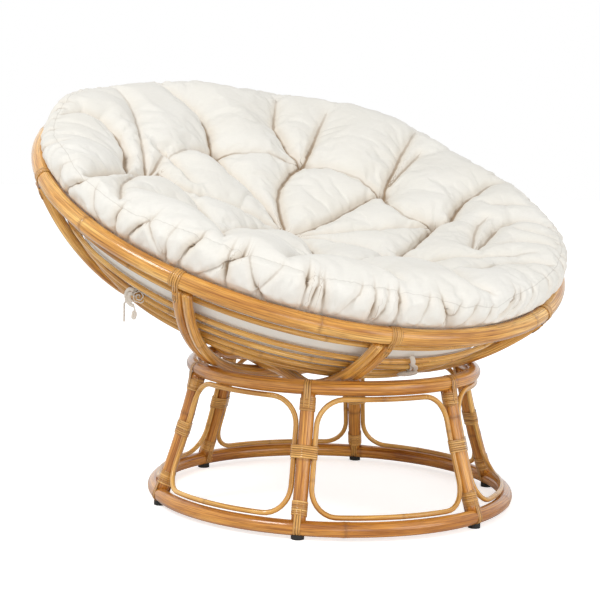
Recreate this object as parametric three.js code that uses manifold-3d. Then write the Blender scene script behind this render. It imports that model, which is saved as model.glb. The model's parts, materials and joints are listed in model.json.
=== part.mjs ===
// Papasan chair: a round rattan bowl that tips on a low ring base, with one big tufted cushion.
// Millimetres, +Z up. The bowl is built in a frame of its own whose origin is the centre of
// the ball that its outer poles lie on, so it can tip on the base ring about that centre.
import * as THREE from 'three';
import { mergeVertices } from 'three/addons/utils/BufferGeometryUtils.js';
import Module from 'manifold-3d';

const wasm = await Module();
wasm.setup();

// Clearances
const seatGap = 0.3;            // between pieces that rest on each other
const chordGap = 0.6;           // extra room where two faceted curves cross
const weldTolerance = 1e-4;

// Base
const baseTopRadius = 276.6;    // centre line of the upper base ring
const baseTopHeight = 263.2;
const baseBottomRadius = 348.6; // centre line of the lower base ring
const basePoleRadius = 14.3;    // both base rings
const legRadius = 13.5;
const legFirstAngle = 12.9;     // degrees from the front, seen from above
const legBowShare = 0.3;        // how much of the splay waits for the lower half
const collarHeight = 30;        // bound length at each end of a leg
const collarThickness = 1.3;
const hoopRadius = 5;           // thin cane bent to a rounded window between legs
const hoopCornerRadius = 50;
const footHeight = 5.7;         // rubber pad under the lower ring
const footRadius = 12;
const footCradle = 3.5;         // how far the pad reaches up round the ring

// Bowl
const bowlTilt = 22.6;          // degrees at rest
const rimRadius = 535;          // centre line of the rim
const rimPoleRadius = 16;
const archRadius = 11;          // the bent poles of the bowl, in four pairs
const archApex = 106;           // how near the first pole of a pair comes to the bowl's axis
const archPairGap = 0.6;        // between the two poles of a pair
const weaveGap = 1.3;           // between a pole and the one that it dives under
const rimBallDepth = 313;       // how deep the ball through the rim reaches below the rim
const archProud = 10;           // the poles lie this much outside that ball
const archEndOffset = 16;       // along the rim, from the binding's middle to the gap's middle
const weaveNear = 30;           // along a pole from its lowest point: where it starts to dive
const weaveFar = 300;           // where it is back on the outer layer
const weaveFlatFrom = 84;
const weaveFlatTo = 176;
const thinRadius = 5.2;         // the thin canes laid in rings inside the poles
const ringDepths = { first: 41, second: 88, third: 116, fourth: 143, fifth: 168 };
// where the eight bindings sit round the rim, as shares of a full turn from the front
const bindingShares = [-0.2889, -0.1639, -0.0444, 0.0778, 0.2028, 0.3278, 0.4556, 0.5833];

// Bindings, round strand
const strandRadius = 1.3;
const rimStrandPitch = 5.4;
const rimStrandLoops = 3;
const rimStrandGap = 0.9;
const midStrandPitch = 5.2;
const midStrandLoops = 5;
const midStrandGap = 1.6;
const midTurnDegrees = [-30, 30, 66, 114, 150, 210, 246, 294];  // corners of one turn
const midBindingShare = 0.47;   // of the way down a leg

// Cushion
const cushionOuterRadius = 547;
const cushionCrestRadius = 485;
const cushionCrestHeight = 86;  // above the rim's plane
const cushionDish = 36;         // below the rim's plane at the middle, before the tuft
const cushionRimRoom = 23;      // kept free round the rim's centre line, inside the bowl
const tuftCount = 8;
const tuftRingRadius = 275;
const tuftDepth = 34;
const tuftWidth = 90;
const tuftFirstAngle = 12;
const creaseDepth = 24;         // of the creases that run through the tufts
const creaseBorderDepth = 8;    // of the same creases where they end at the border
const creaseRingDepth = 12;     // of the creases from one tuft of the ring to the next
const creaseWidth = 60;

// Ties that hold the cushion to the thin canes
const tieRadius = 2.2;
const tieKnotRadius = 8;
const tieGap = 0.6;             // between the cloth and the cane
const tieLegShare = 0.15;       // of the loop's run, straight at each end
const tieTailRadius = 1.8;
const tieTailLength = 34;
const tieLeftAngle = -80;
const tieRightAngle = -2;

// Everything below follows from the sizes above.
const rad = THREE.MathUtils.degToRad;
const legCount = 6;
const legStep = (2 * Math.PI) / legCount;
const baseBottomHeight = footHeight + basePoleRadius;
const poleSides = 8;            // facets round the thick poles
const rimStrandPath = rimPoleRadius + rimStrandGap + strandRadius / Math.cos(Math.PI / poleSides);
const archToBase = archRadius + chordGap + basePoleRadius * Math.cos(Math.PI / poleSides);
const ballOfRim = (rimRadius ** 2 + rimBallDepth ** 2) / (2 * rimBallDepth);
const ballOuter = ballOfRim + archProud;
const rimDrop = ballOfRim - rimBallDepth;       // rim's plane below the ball's centre
const ballInner = ballOuter - 2 * archRadius - weaveGap;
const ballRings = ballOuter - archRadius - thinRadius - chordGap;
const ballCentreHeight = baseTopHeight
  + Math.sqrt((ballOuter + archToBase) ** 2 - baseTopRadius ** 2);

const rattan = { color: 0xd9a55a, roughness: 0.42, metalness: 0 };
const rattanPale = { color: 0xe0b06a, roughness: 0.45, metalness: 0 };
const rattanDark = { color: 0xcf9750, roughness: 0.45, metalness: 0 };
const strand = { color: 0xd6a45f, roughness: 0.5, metalness: 0 };
const rubber = { color: 0x1a1a1a, roughness: 0.8, metalness: 0 };
const cotton = { color: 0xefebe2, roughness: 0.95, metalness: 0 };
const tieCloth = { color: 0xe6dfd0, roughness: 0.95, metalness: 0 };

function mesh(name, geometry, look) {
  const m = new THREE.Mesh(geometry, new THREE.MeshStandardMaterial(look));
  m.name = name;
  return m;
}

function toSolid(geometry) {
  const g = geometry.clone();
  g.deleteAttribute('normal');
  g.deleteAttribute('uv');
  const w = mergeVertices(g, weldTolerance);
  return new wasm.Manifold(new wasm.Mesh({
    numProp: 3,
    vertProperties: new Float32Array(w.attributes.position.array),
    triVerts: new Uint32Array(w.index.array),
  }));
}

function toGeometry(solid) {
  const m = solid.getMesh();
  const g = new THREE.BufferGeometry();
  g.setAttribute('position', new THREE.BufferAttribute(new Float32Array(m.vertProperties), 3));
  g.setIndex(new THREE.BufferAttribute(new Uint32Array(m.triVerts), 1));
  g.computeVertexNormals();
  return g;
}

// A ring lying flat, its tube and its run in the given numbers of facets.
function ringGeometry(radius, tube, sides, steps) {
  return new THREE.TorusGeometry(radius, tube, sides, steps);
}

class PathCurve extends THREE.Curve {
  constructor(at) {
    super();
    this.at = at;
  }
  getPoint(t, target = new THREE.Vector3()) {
    return target.copy(this.at(t));
  }
}

function circleShape(radius, sides) {
  const pts = [];
  for (let i = 0; i < sides; i += 1) {
    const a = (2 * Math.PI * (i + 0.5)) / sides;
    pts.push(new THREE.Vector2(radius * Math.cos(a), radius * Math.sin(a)));
  }
  return new THREE.Shape(pts);
}

// A pole swept along a path, closed at both ends.
function poleGeometry(at, radius, sides, steps) {
  return new THREE.ExtrudeGeometry(circleShape(radius, sides), {
    steps, bevelEnabled: false, extrudePath: new PathCurve(at),
  });
}

// A closed tube round a closed run of points.
function hoopGeometry(points, radius, sides, steps) {
  const curve = new THREE.CatmullRomCurve3(points, true, 'centripetal');
  return new THREE.TubeGeometry(curve, steps, radius, sides, true);
}

// One strand wound about an axis: a four-sided tube through the points, closed at its ends.
function strandGeometry(points, axis, radius) {
  const pos = [];
  const last = points.length - 1;
  points.forEach((p, i) => {
    const next = points[Math.min(i + 1, last)];
    const before = points[Math.max(i - 1, 0)];
    const along = next.clone().sub(before).normalize();
    const out = new THREE.Vector3().crossVectors(along, axis).normalize();
    const up = new THREE.Vector3().crossVectors(out, along);
    for (const v of [out, up, out.clone().negate(), up.clone().negate()]) {
      const q = p.clone().addScaledVector(v, radius);
      pos.push(q.x, q.y, q.z);
    }
  });
  const idx = [];
  for (let i = 0; i < last; i += 1) {
    for (let k = 0; k < 4; k += 1) {
      const a = 4 * i + k;
      const b = 4 * i + ((k + 1) % 4);
      idx.push(a, b + 4, b, a, a + 4, b + 4);
    }
  }
  const e = 4 * last;
  idx.push(0, 1, 2, 0, 2, 3, e, e + 2, e + 1, e, e + 3, e + 2);
  const g = new THREE.BufferGeometry();
  g.setAttribute('position', new THREE.Float32BufferAttribute(pos, 3));
  g.setIndex(idx);
  g.computeVertexNormals();
  return g;
}

// Least distance between the turns of a winding, measured on its points.
function leastSelfGap(points, perLoop, radius) {
  let least = Infinity;
  points.forEach((p, i) => {
    for (let j = i + perLoop - 2; j < points.length; j += 1) {
      least = Math.min(least, p.distanceTo(points[j]));
    }
  });
  return least - 2 * radius;
}

// Radius of the legs' centre lines at a height: the upper half hangs nearly straight.
function legRadiusAt(z) {
  const s = (baseTopHeight - z) / (baseTopHeight - baseBottomHeight);
  return baseTopRadius + (baseBottomRadius - baseTopRadius) * (s + legBowShare * (s * s - s));
}

// Azimuth 0 is the front (-Y); it grows towards +X.
function polar(radius, angle, z) {
  return new THREE.Vector3(radius * Math.sin(angle), -radius * Math.cos(angle), z);
}

function baseRing(name, radius, height) {
  const m = mesh(name, ringGeometry(radius, basePoleRadius, poleSides, 36), rattan);
  m.position.z = height;
  return m;
}

function fatRing(radius, height, tube) {
  const g = ringGeometry(radius, tube, poleSides, 36);
  g.translate(0, 0, height);
  return toSolid(g);
}

// A leg: a bent pole coped between the two rings, with a bound collar at each end.
function legSolid(angle) {
  const zTop = baseTopHeight;
  const zLow = baseBottomHeight;
  const at = (t) => {
    const z = zTop + (zLow - zTop) * t;
    return polar(legRadiusAt(z), angle, z);
  };
  let solid = toSolid(poleGeometry(at, legRadius, poleSides, 4));
  const run = zTop - zLow;
  const clear = basePoleRadius / run;
  const share = collarHeight / run;
  const collarAt = (from) => (t) => at(from + share * t);
  for (const from of [clear, 1 - clear - share]) {
    solid = solid.add(toSolid(poleGeometry(collarAt(from), legRadius + collarThickness, poleSides, 1)));
  }
  solid = solid.subtract(fatRing(baseTopRadius, zTop, basePoleRadius + seatGap));
  solid = solid.subtract(fatRing(baseBottomRadius, zLow, basePoleRadius + seatGap));
  // What the copes leave beyond the rings is dropped: the largest piece is the leg.
  const parts = solid.decompose();
  parts.sort((a, b) => b.volume() - a.volume());
  return parts[0];
}

function hoopPoints(midAngle) {
  const zTop = baseTopHeight - basePoleRadius - seatGap - hoopRadius;
  const zLow = baseBottomHeight + basePoleRadius + seatGap + hoopRadius;
  const side = legRadius + hoopRadius + seatGap;
  const half = (z) => legStep / 2 - Math.asin(side / legRadiusAt(z));
  const c = hoopCornerRadius;
  const pts = [];
  const put = (z, inset) => (sign) => {
    const r = legRadiusAt(z);
    pts.push(polar(r, midAngle + sign * (half(z) - inset / r), z));
  };
  const quarter = [0, 1, 2, 3].map((i) => (Math.PI / 2) * (i / 3));
  const straight = [0.25, 0.5, 0.75];
  const down = [];
  for (const q of quarter) down.push([zTop - c * (1 - Math.cos(q)), c * (1 - Math.sin(q))]);
  for (const s of straight) down.push([zTop - c + (zLow + c - zTop + c) * s, 0]);
  for (const q of quarter.slice().reverse()) {
    down.push([zLow + c * (1 - Math.cos(q)), c * (1 - Math.sin(q))]);
  }
  for (const [z, inset] of down) put(z, inset)(1);
  const across = (z) => {
    const w = half(z) - c / legRadiusAt(z);
    return [0.6, 0.2, -0.2, -0.6].map((s) => polar(legRadiusAt(z), midAngle + s * w, z));
  };
  pts.push(...across(zLow));
  for (const [z, inset] of down.slice().reverse()) put(z, inset)(-1);
  pts.push(...across(zTop).reverse());
  return pts;
}

// The winding that holds a leg and the hoops on both sides of it, one strand wound round.
function midBinding(angle) {
  const z = baseTopHeight + (baseBottomHeight - baseTopHeight) * midBindingShare;
  const step = legRadius;
  const centre = polar(legRadiusAt(z), angle, z);
  const above = polar(legRadiusAt(z + step), angle, z + step);
  const axis = above.clone().sub(centre).normalize();
  const across = new THREE.Vector3(Math.cos(angle), Math.sin(angle), 0);
  const out = new THREE.Vector3().crossVectors(across, axis).normalize();
  const side = legRadius + hoopRadius + seatGap;
  const grow = midStrandGap + strandRadius;
  const points = [];
  const count = midStrandLoops * midTurnDegrees.length;
  for (let i = 0; i <= count; i += 1) {
    const a = rad(midTurnDegrees[i % midTurnDegrees.length]);
    const c = Math.cos(a);
    const s = Math.sin(a);
    const onSide = side * Math.abs(c) + hoopRadius > legRadius;
    const r = (onSide ? hoopRadius : legRadius) + grow;
    const x = (onSide ? Math.sign(c) * side : 0) + r * c;
    points.push(centre.clone()
      .addScaledVector(across, x)
      .addScaledVector(out, r * s)
      .addScaledVector(axis, midStrandPitch * midStrandLoops * (i / count - 0.5)));
  }
  return { points, axis };
}

// A rubber pad under the lower ring, its top hollowed to the ring.
function footGeometry(angle) {
  const g = new THREE.CylinderGeometry(footRadius, footRadius, footHeight + footCradle, 12);
  g.rotateX(Math.PI / 2);
  const p = polar(baseBottomRadius, angle, (footHeight + footCradle) / 2);
  g.translate(p.x, p.y, p.z);
  const cut = fatRing(baseBottomRadius, baseBottomHeight, basePoleRadius + seatGap);
  return toGeometry(toSolid(g).subtract(cut));
}

function buildBase() {
  const base = new THREE.Group();
  base.add(baseRing('base_ring_top', baseTopRadius, baseTopHeight));
  base.add(baseRing('base_ring_bottom', baseBottomRadius, baseBottomHeight));
  let least = Infinity;
  for (let i = 0; i < legCount; i += 1) {
    const n = i + 1;
    const angle = rad(legFirstAngle) + i * legStep;
    base.add(mesh(`leg_${n}`, toGeometry(legSolid(angle)), rattan));
    const hoop = hoopGeometry(hoopPoints(angle + legStep / 2), hoopRadius, 6, 28);
    base.add(mesh(`hoop_${n}`, hoop, rattanPale));
    const { points, axis } = midBinding(angle);
    least = Math.min(least, leastSelfGap(points, midTurnDegrees.length, strandRadius));
    base.add(mesh(`leg_binding_${n}`, strandGeometry(points, axis, strandRadius), strand));
    base.add(mesh(`foot_${n}`, footGeometry(angle), rubber));
  }
  console.log(`leg bindings: least gap to themselves ${least.toFixed(2)} mm`);
  return base;
}

const bindingAngles = bindingShares.map((s) => s * 2 * Math.PI);

// The rim's plane is at -rimDrop in the bowl's frame.
function rimSolid(tube) {
  const g = ringGeometry(rimRadius, tube, poleSides, 72);
  g.translate(0, 0, -rimDrop);
  return toSolid(g);
}

function smooth(from, to, x) {
  const t = Math.min(1, Math.max(0, (x - from) / (to - from)));
  return t * t * (3 - 2 * t);
}

// How far a pole has dived to the inner layer, by its place along the run: it passes under
// its neighbours on one side of the middle only, so the four pairs are woven together.
function dive(y) {
  return smooth(weaveNear, weaveFlatFrom, y) * (1 - smooth(weaveFlatTo, weaveFar, y));
}

// The length of the rim that a binding takes up, with the room that its strand needs.
function bindingRoom(angle) {
  const half = (rimStrandPitch * rimStrandLoops) / 2 + strandRadius + chordGap;
  const turn = half / rimRadius;
  const at = (t) => polar(rimRadius, angle + turn * (2 * t - 1), -rimDrop);
  const reach = (rimStrandPath + strandRadius) / Math.cos(Math.PI / poleSides) + seatGap;
  return toSolid(poleGeometry(at, reach, poleSides, 2));
}

// One bent pole between two bindings. Seen along the bowl's axis it is part of a circle
// that passes the axis at the apex distance; its centre line lies on the ball.
function archPath(fromAngle, toAngle, apex, along) {
  const shift = along / rimRadius;
  const a0 = fromAngle + shift;
  const a1 = toAngle - shift;
  const mid = (a0 + a1) / 2;
  const half = (a1 - a0) / 2;
  const xe = rimRadius * Math.cos(half);
  const ye = rimRadius * Math.sin(half);
  const sweep = ((xe - apex) ** 2 + ye ** 2) / (2 * (xe - apex));
  const end = Math.asin(ye / sweep);
  const axis = new THREE.Vector3(0, 0, 1);
  return (t) => {
    const a = end * (2 * t - 1);
    const x = apex + sweep * (1 - Math.cos(a));
    const y = sweep * Math.sin(a);
    const ball = ballOuter - (ballOuter - ballInner) * dive(y);
    const z = -Math.sqrt(ball * ball - x * x - y * y);
    return new THREE.Vector3(y, -x, z).applyAxisAngle(axis, mid);
  };
}

function buildArches() {
  const out = [];
  const cope = rimSolid(rimPoleRadius + seatGap);
  const spacing = 2 * archRadius + archPairGap;
  const pairs = [[1, 4], [3, 6], [5, 0], [7, 2]];
  pairs.forEach(([from, to], i) => {
    const a0 = bindingAngles[from];
    let a1 = bindingAngles[to];
    if (a1 < a0) a1 += 2 * Math.PI;
    for (const [j, letter] of [[0, 'a'], [1, 'b']]) {
      const along = archEndOffset + (j - 0.5) * spacing;
      const path = archPath(a0, a1, archApex + j * spacing, along);
      let solid = toSolid(poleGeometry(path, archRadius, poleSides, 22));
      solid = solid.subtract(cope);
      for (const end of [a0, a1]) solid = solid.subtract(bindingRoom(end));
      const parts = solid.decompose();
      parts.sort((p, q) => q.volume() - p.volume());
      out.push(mesh(`arch_${i + 1}${letter}`, toGeometry(parts[0]), rattan));
    }
  });
  return out;
}

// Strand wound round the rim where two poles meet it.
function rimBinding(angle) {
  const centre = polar(rimRadius, angle, -rimDrop);
  const along = new THREE.Vector3(Math.cos(angle), Math.sin(angle), 0);
  const out = new THREE.Vector3(Math.sin(angle), -Math.cos(angle), 0);
  const up = new THREE.Vector3(0, 0, 1);
  const points = [];
  const count = rimStrandLoops * poleSides;
  for (let i = 0; i <= count; i += 1) {
    const a = (2 * Math.PI * i) / poleSides + Math.PI / 2;
    points.push(centre.clone()
      .addScaledVector(out, rimStrandPath * Math.cos(a))
      .addScaledVector(up, rimStrandPath * Math.sin(a))
      .addScaledVector(along, rimStrandPitch * rimStrandLoops * (i / count - 0.5)));
  }
  return { points, axis: along };
}

function thinRings() {
  return Object.values(ringDepths).map((depth, i) => {
    const down = rimDrop + depth;
    const r = Math.sqrt(ballRings ** 2 - down ** 2);
    const m = mesh(`thin_ring_${i + 1}`, ringGeometry(r, thinRadius, 6, 40), rattanPale);
    m.position.z = -down;
    return m;
  });
}

// Height of the cushion's outline above the rim's plane, from the underside's middle out,
// round the border and back over the roll to the middle of the seat.
function cushionProfile() {
  const seatBall = ballRings - thinRadius - chordGap;
  const lowBall = ballInner - archRadius - seatGap;
  const under = (r, ball) => rimDrop - Math.sqrt(ball * ball - r * r);
  const pts = [];
  const dived = weaveFar;
  for (const share of [0, 0.25, 0.5, 0.75, 1]) pts.push([dived * share, under(dived * share, lowBall)]);
  const last = rimRadius - 2 * cushionRimRoom;
  for (const share of [0.2, 0.6, 1]) {
    const r = dived + (last - dived) * share;
    pts.push([r, under(r, seatBall)]);
  }
  const inner = rimRadius - cushionRimRoom;
  pts.push([inner - cushionRimRoom / 4, -cushionRimRoom / 2]);
  pts.push([inner - cushionRimRoom / 8, cushionRimRoom / 2]);
  const room = cushionRimRoom + rimPoleRadius / 4;
  pts.push([rimRadius - room / 2, room]);
  const bulge = cushionOuterRadius;
  const waist = (room + cushionCrestHeight) / 2;
  pts.push([bulge - room / 8, waist - room / 4]);
  pts.push([bulge, waist + room / 4]);
  const crest = cushionCrestRadius;
  const top = cushionCrestHeight;
  pts.push([crest + (bulge - crest) * 0.75, top * 0.88]);
  pts.push([crest + (bulge - crest) * 0.4, top * 0.97]);
  pts.push([crest, top]);
  for (const share of [0.92, 0.84, 0.75, 0.65, 0.55, 0.44, 0.3, 0.15, 0]) {
    const fall = (Math.cos((Math.PI / 2) * share) + Math.cos((Math.PI / 2) * share) ** 2) / 2;
    pts.push([crest * share, top - (top + cushionDish) * fall]);
  }
  return pts;
}

// Sewn tufts and the creases between them: sharp in the middle, easing out to their width.
function cushionDip(r, angle, onTop) {
  if (!onTop) return 0;
  const dent = (depth, off, width) => depth * Math.max(0, 1 - Math.abs(off) / width) ** 2;
  const step = (2 * Math.PI) / tuftCount;
  const turn = angle - rad(tuftFirstAngle);
  const off = turn - Math.round(turn / step) * step;
  const dx = r * Math.cos(off) - tuftRingRadius;
  const dy = r * Math.sin(off);
  const out = smooth(tuftRingRadius, cushionOuterRadius, r);
  const spoke = creaseDepth + (creaseBorderDepth - creaseDepth) * out;
  return Math.max(
    dent(tuftDepth, r, tuftWidth),
    dent(tuftDepth, Math.hypot(dx, dy), tuftWidth),
    dent(spoke, dy, creaseWidth),
    dent(creaseRingDepth, r - tuftRingRadius, creaseWidth),
  );
}

function cushionGeometry() {
  const profile = cushionProfile();
  const around = tuftCount * 5;
  const pos = [];
  const crestAt = profile.findIndex(([r]) => r === cushionCrestRadius);
  const rows = profile.slice(1, -1);
  const low = profile[0];
  const high = profile[profile.length - 1];
  pos.push(0, 0, low[1] - rimDrop);
  rows.forEach(([r, h], i) => {
    const onTop = i + 1 >= crestAt - 2;
    for (let k = 0; k < around; k += 1) {
      const a = rad(tuftFirstAngle) + (2 * Math.PI * k) / around;
      const p = polar(r, a, h - cushionDip(r, a, onTop) - rimDrop);
      pos.push(p.x, p.y, p.z);
    }
  });
  pos.push(0, 0, high[1] - tuftDepth - rimDrop);
  const idx = [];
  const at = (row, k) => 1 + row * around + (k % around);
  const lastRow = rows.length - 1;
  const tip = pos.length / 3 - 1;
  for (let k = 0; k < around; k += 1) {
    idx.push(0, at(0, k + 1), at(0, k));
    for (let row = 0; row < lastRow; row += 1) {
      idx.push(at(row, k), at(row, k + 1), at(row + 1, k + 1));
      idx.push(at(row, k), at(row + 1, k + 1), at(row + 1, k));
    }
    idx.push(at(lastRow, k), at(lastRow, k + 1), tip);
  }
  const g = new THREE.BufferGeometry();
  g.setAttribute('position', new THREE.Float32BufferAttribute(pos, 3));
  g.setIndex(idx);
  g.computeVertexNormals();
  return g;
}

// A cloth tie: a loop round a thin cane and a knot on its outer side.
function tieSolid(angle, depth) {
  const down = rimDrop + depth;
  const r = Math.sqrt(ballRings ** 2 - down ** 2);
  const centre = polar(r, angle, -down);
  const outward = centre.clone().normalize();
  const round = new THREE.Vector3(Math.cos(angle), Math.sin(angle), 0);
  const climb = new THREE.Vector3().crossVectors(round, outward);
  const reach = thinRadius + tieGap + tieRadius;
  // Up from the cushion, half round the cane's outer side and back to the cushion.
  const path = (t) => {
    const a = Math.PI * Math.min(1, Math.max(0, (t - tieLegShare) / (1 - 2 * tieLegShare)));
    const into = Math.max(0, tieLegShare - t) + Math.max(0, t - 1 + tieLegShare);
    const o = reach * Math.sin(a) - (thinRadius * into) / tieLegShare;
    return centre.clone().addScaledVector(outward, o).addScaledVector(climb, reach * Math.cos(a));
  };
  const loop = poleGeometry(path, tieRadius, 6, 14);
  const knot = new THREE.SphereGeometry(tieKnotRadius, 10, 7);
  const k = tieKnotPlace(angle, depth);
  knot.translate(k.x, k.y, k.z);
  return toSolid(loop).add(toSolid(knot));
}

function tieKnotPlace(angle, depth) {
  const down = rimDrop + depth;
  const r = Math.sqrt(ballRings ** 2 - down ** 2);
  const centre = polar(r, angle, -down);
  const away = thinRadius + tieGap + tieRadius + tieKnotRadius - tieRadius / 2;
  return centre.addScaledVector(centre.clone().normalize(), away);
}

function buildBowl() {
  const bowl = new THREE.Group();
  bowl.add(mesh('bowl_rim', toGeometry(rimSolid(rimPoleRadius)), rattanPale));
  for (const arch of buildArches()) bowl.add(arch);
  for (const ring of thinRings()) bowl.add(ring);
  let least = Infinity;
  bindingAngles.forEach((angle, i) => {
    const { points, axis } = rimBinding(angle);
    least = Math.min(least, leastSelfGap(points, poleSides, strandRadius));
    bowl.add(mesh(`rim_binding_${i + 1}`, strandGeometry(points, axis, strandRadius), strand));
  });
  console.log(`rim bindings: least gap to themselves ${least.toFixed(2)} mm`);
  bowl.add(mesh('cushion', cushionGeometry(), cotton));
  const left = tieSolid(rad(tieLeftAngle), ringDepths.fourth);
  bowl.add(mesh('tie_left', toGeometry(left), tieCloth));
  const right = tieSolid(rad(tieRightAngle), ringDepths.third);
  bowl.add(mesh('tie_right', toGeometry(right), tieCloth));
  return bowl;
}

const chair = new THREE.Group();
const base = buildBase();
const bowl = buildBowl();
bowl.position.z = ballCentreHeight;
bowl.rotation.x = rad(bowlTilt);
chair.add(base);
chair.add(bowl);
chair.updateMatrixWorld(true);

// The origin is under the middle of the whole chair's box, on the floor.
const box = new THREE.Box3().setFromObject(chair, true);
const centre = box.getCenter(new THREE.Vector3());
base.position.y -= centre.y;
bowl.position.y -= centre.y;
base.position.x -= centre.x;
bowl.position.x -= centre.x;

// The loose end of the left tie hangs straight down from its knot.
function tieTail() {
  const knot = tieKnotPlace(rad(tieLeftAngle), ringDepths.fourth);
  bowl.updateMatrixWorld(true);
  const start = knot.applyMatrix4(bowl.matrixWorld);
  start.z -= tieKnotRadius + seatGap;
  const at = (t) => new THREE.Vector3(start.x, start.y, start.z - tieTailLength * t);
  return mesh('tie_left_tail', poleGeometry(at, tieTailRadius, 8, 8), tieCloth);
}
chair.add(tieTail());

export default chair;
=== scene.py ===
# %% [markdown]
# # Papasan chair
# This file dresses the measured model of a papasan chair for its portrait. The chair is a
# shallow bowl of bent rattan poles and thin canes that lies tilted on a low ring base, with one
# thick tufted cushion in it. The measured solids are faceted and plain. Here each pole becomes a
# smooth one with its growth rings and lacquer, each binding becomes a strip of cane wound turn
# by turn, and the cushion is blown up by a cloth simulation. Lengths are in metres.

# %% Load the measured model
import json
import math
import random

import bmesh
import bpy
import numpy as np
from mathutils import Matrix, Vector, noise

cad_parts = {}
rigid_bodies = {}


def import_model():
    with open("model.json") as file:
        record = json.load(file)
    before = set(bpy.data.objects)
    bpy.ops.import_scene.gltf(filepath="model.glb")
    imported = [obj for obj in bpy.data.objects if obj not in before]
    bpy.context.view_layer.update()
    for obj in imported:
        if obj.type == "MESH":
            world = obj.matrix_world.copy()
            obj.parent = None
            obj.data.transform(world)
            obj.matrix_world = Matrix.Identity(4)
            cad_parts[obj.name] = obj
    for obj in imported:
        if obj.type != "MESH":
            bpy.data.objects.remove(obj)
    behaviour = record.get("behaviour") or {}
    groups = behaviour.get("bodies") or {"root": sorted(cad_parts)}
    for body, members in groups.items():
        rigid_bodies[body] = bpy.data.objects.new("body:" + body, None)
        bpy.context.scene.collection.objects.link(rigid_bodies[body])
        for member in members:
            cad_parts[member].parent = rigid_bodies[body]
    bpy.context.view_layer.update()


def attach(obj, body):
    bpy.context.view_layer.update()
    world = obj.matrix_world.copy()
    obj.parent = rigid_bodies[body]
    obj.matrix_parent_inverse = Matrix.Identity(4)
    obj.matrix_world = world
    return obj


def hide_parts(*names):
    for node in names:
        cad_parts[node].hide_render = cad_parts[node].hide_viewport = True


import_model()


# %% [markdown]
# ## Camera
# The camera comes first, because what is free to hang is judged by what it sees. Its place and
# lens were found by laying the four circles of the chair over the photograph: both rings of the
# base, the rim, and the ball that the poles lie on. It stands about three metres away to the
# front left, nearly as high as the back of the rim, and it was held turned by over a degree.

# %% Camera
PICTURE, LENS_PIXELS, SENSOR = 600, 1573.716, 36
SHIFT_X, SHIFT_Y = -1.19, 1.69
CAMERA_BACK, CAMERA_UP = 3.09089, 0.73639
PITCH, YAW, ROLL = 0.112336, -0.021774, 0.028939
TURN = math.radians(-38.144)
BASE_Y = -0.1056183


def camera_matrix():
    ahead = Vector((math.sin(YAW) * math.cos(PITCH), math.cos(YAW) * math.cos(PITCH), -math.sin(PITCH)))
    right = Vector((math.cos(YAW), -math.sin(YAW), 0))
    up = right.cross(ahead)
    rolled_right = right * math.cos(ROLL) + up * math.sin(ROLL)
    rolled_up = up * math.cos(ROLL) - right * math.sin(ROLL)
    axes = Matrix((rolled_right, rolled_up, -ahead)).transposed().to_4x4()
    stand = Matrix.Translation((0, BASE_Y, 0)) @ Matrix.Rotation(TURN, 4, "Z")
    return stand @ Matrix.Translation((0, -CAMERA_BACK, CAMERA_UP)) @ axes


camera_data = bpy.data.cameras.new("portrait_camera")
camera_data.sensor_width = SENSOR
camera_data.lens = SENSOR * LENS_PIXELS / PICTURE
camera_data.shift_x = SHIFT_X / PICTURE
camera_data.shift_y = SHIFT_Y / PICTURE
camera_data.clip_end = 100
camera = bpy.data.objects.new("portrait_camera", camera_data)
bpy.context.scene.collection.objects.link(camera)
camera.matrix_world = camera_matrix()
bpy.context.scene.camera = camera
bpy.context.scene.view_settings.view_transform = "Standard"
print("camera at", [round(x, 3) for x in camera.matrix_world.translation])

# %% [markdown]
# ## The bowl's own frame
# Everything in the bowl is easiest to place in a frame of its own. Its origin is the centre of
# the ball that the poles lie on, and its plane of the rim is level. One matrix then tips it to
# the 22.6 degrees of the photograph and sets it over the base. Some places are worked out from
# the radii of the measured solids, which are a little thicker than what is shown here.

# %% Sizes that the pieces share
RIM_R, RIM_POLE = 0.535, 0.0158
ARCH_POLE, THIN_CANE = 0.0098, 0.0050
RING_TOP_R, RING_TOP_Z, RING_LOW_R, RING_LOW_Z, RING_POLE = 0.2766, 0.2632, 0.3486, 0.0200, 0.0140
SOLID_POLE, SOLID_CANE, SOLID_RING, SOLID_LEG, SOLID_HOOP = 0.011, 0.0052, 0.0143, 0.0135, 0.005
SOLID_GAP, WEAVE_GAP, POLES_OUTSIDE = 0.0003, 0.0013, 0.010
BALL_DEPTH, BALL_Z = 0.313, 0.8497974
BALL_RIM = (RIM_R**2 + BALL_DEPTH**2) / (2 * BALL_DEPTH)
BALL_OUT = BALL_RIM + POLES_OUTSIDE
BALL_IN = BALL_OUT - 2 * SOLID_POLE - WEAVE_GAP
BALL_CANES = BALL_OUT - SOLID_POLE - SOLID_CANE - 2 * SOLID_GAP
RIM_DROP = BALL_RIM - BALL_DEPTH
TO_BOWL = Matrix.Translation((0, BASE_Y, BALL_Z)) @ Matrix.Rotation(math.radians(22.6), 4, "X")
TO_BASE = Matrix.Translation((0, BASE_Y, 0))
BINDING_SHARES = [-0.2889, -0.1639, -0.0444, 0.0778, 0.2028, 0.3278, 0.4556, 0.5833]
BINDING_ANGLES = [s * 2 * math.pi for s in BINDING_SHARES]


def polar(radius, angle, z=0.0):
    """A point on a circle. Angle 0 is the low front of the chair and it grows towards +X."""
    return Vector((radius * math.sin(angle), -radius * math.cos(angle), z))


def sideways(angle):
    """The direction along the circle at that angle."""
    return Vector((math.cos(angle), math.sin(angle), 0))


print("ball radius", round(BALL_OUT, 4), "rim below its centre", round(RIM_DROP, 4))

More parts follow.
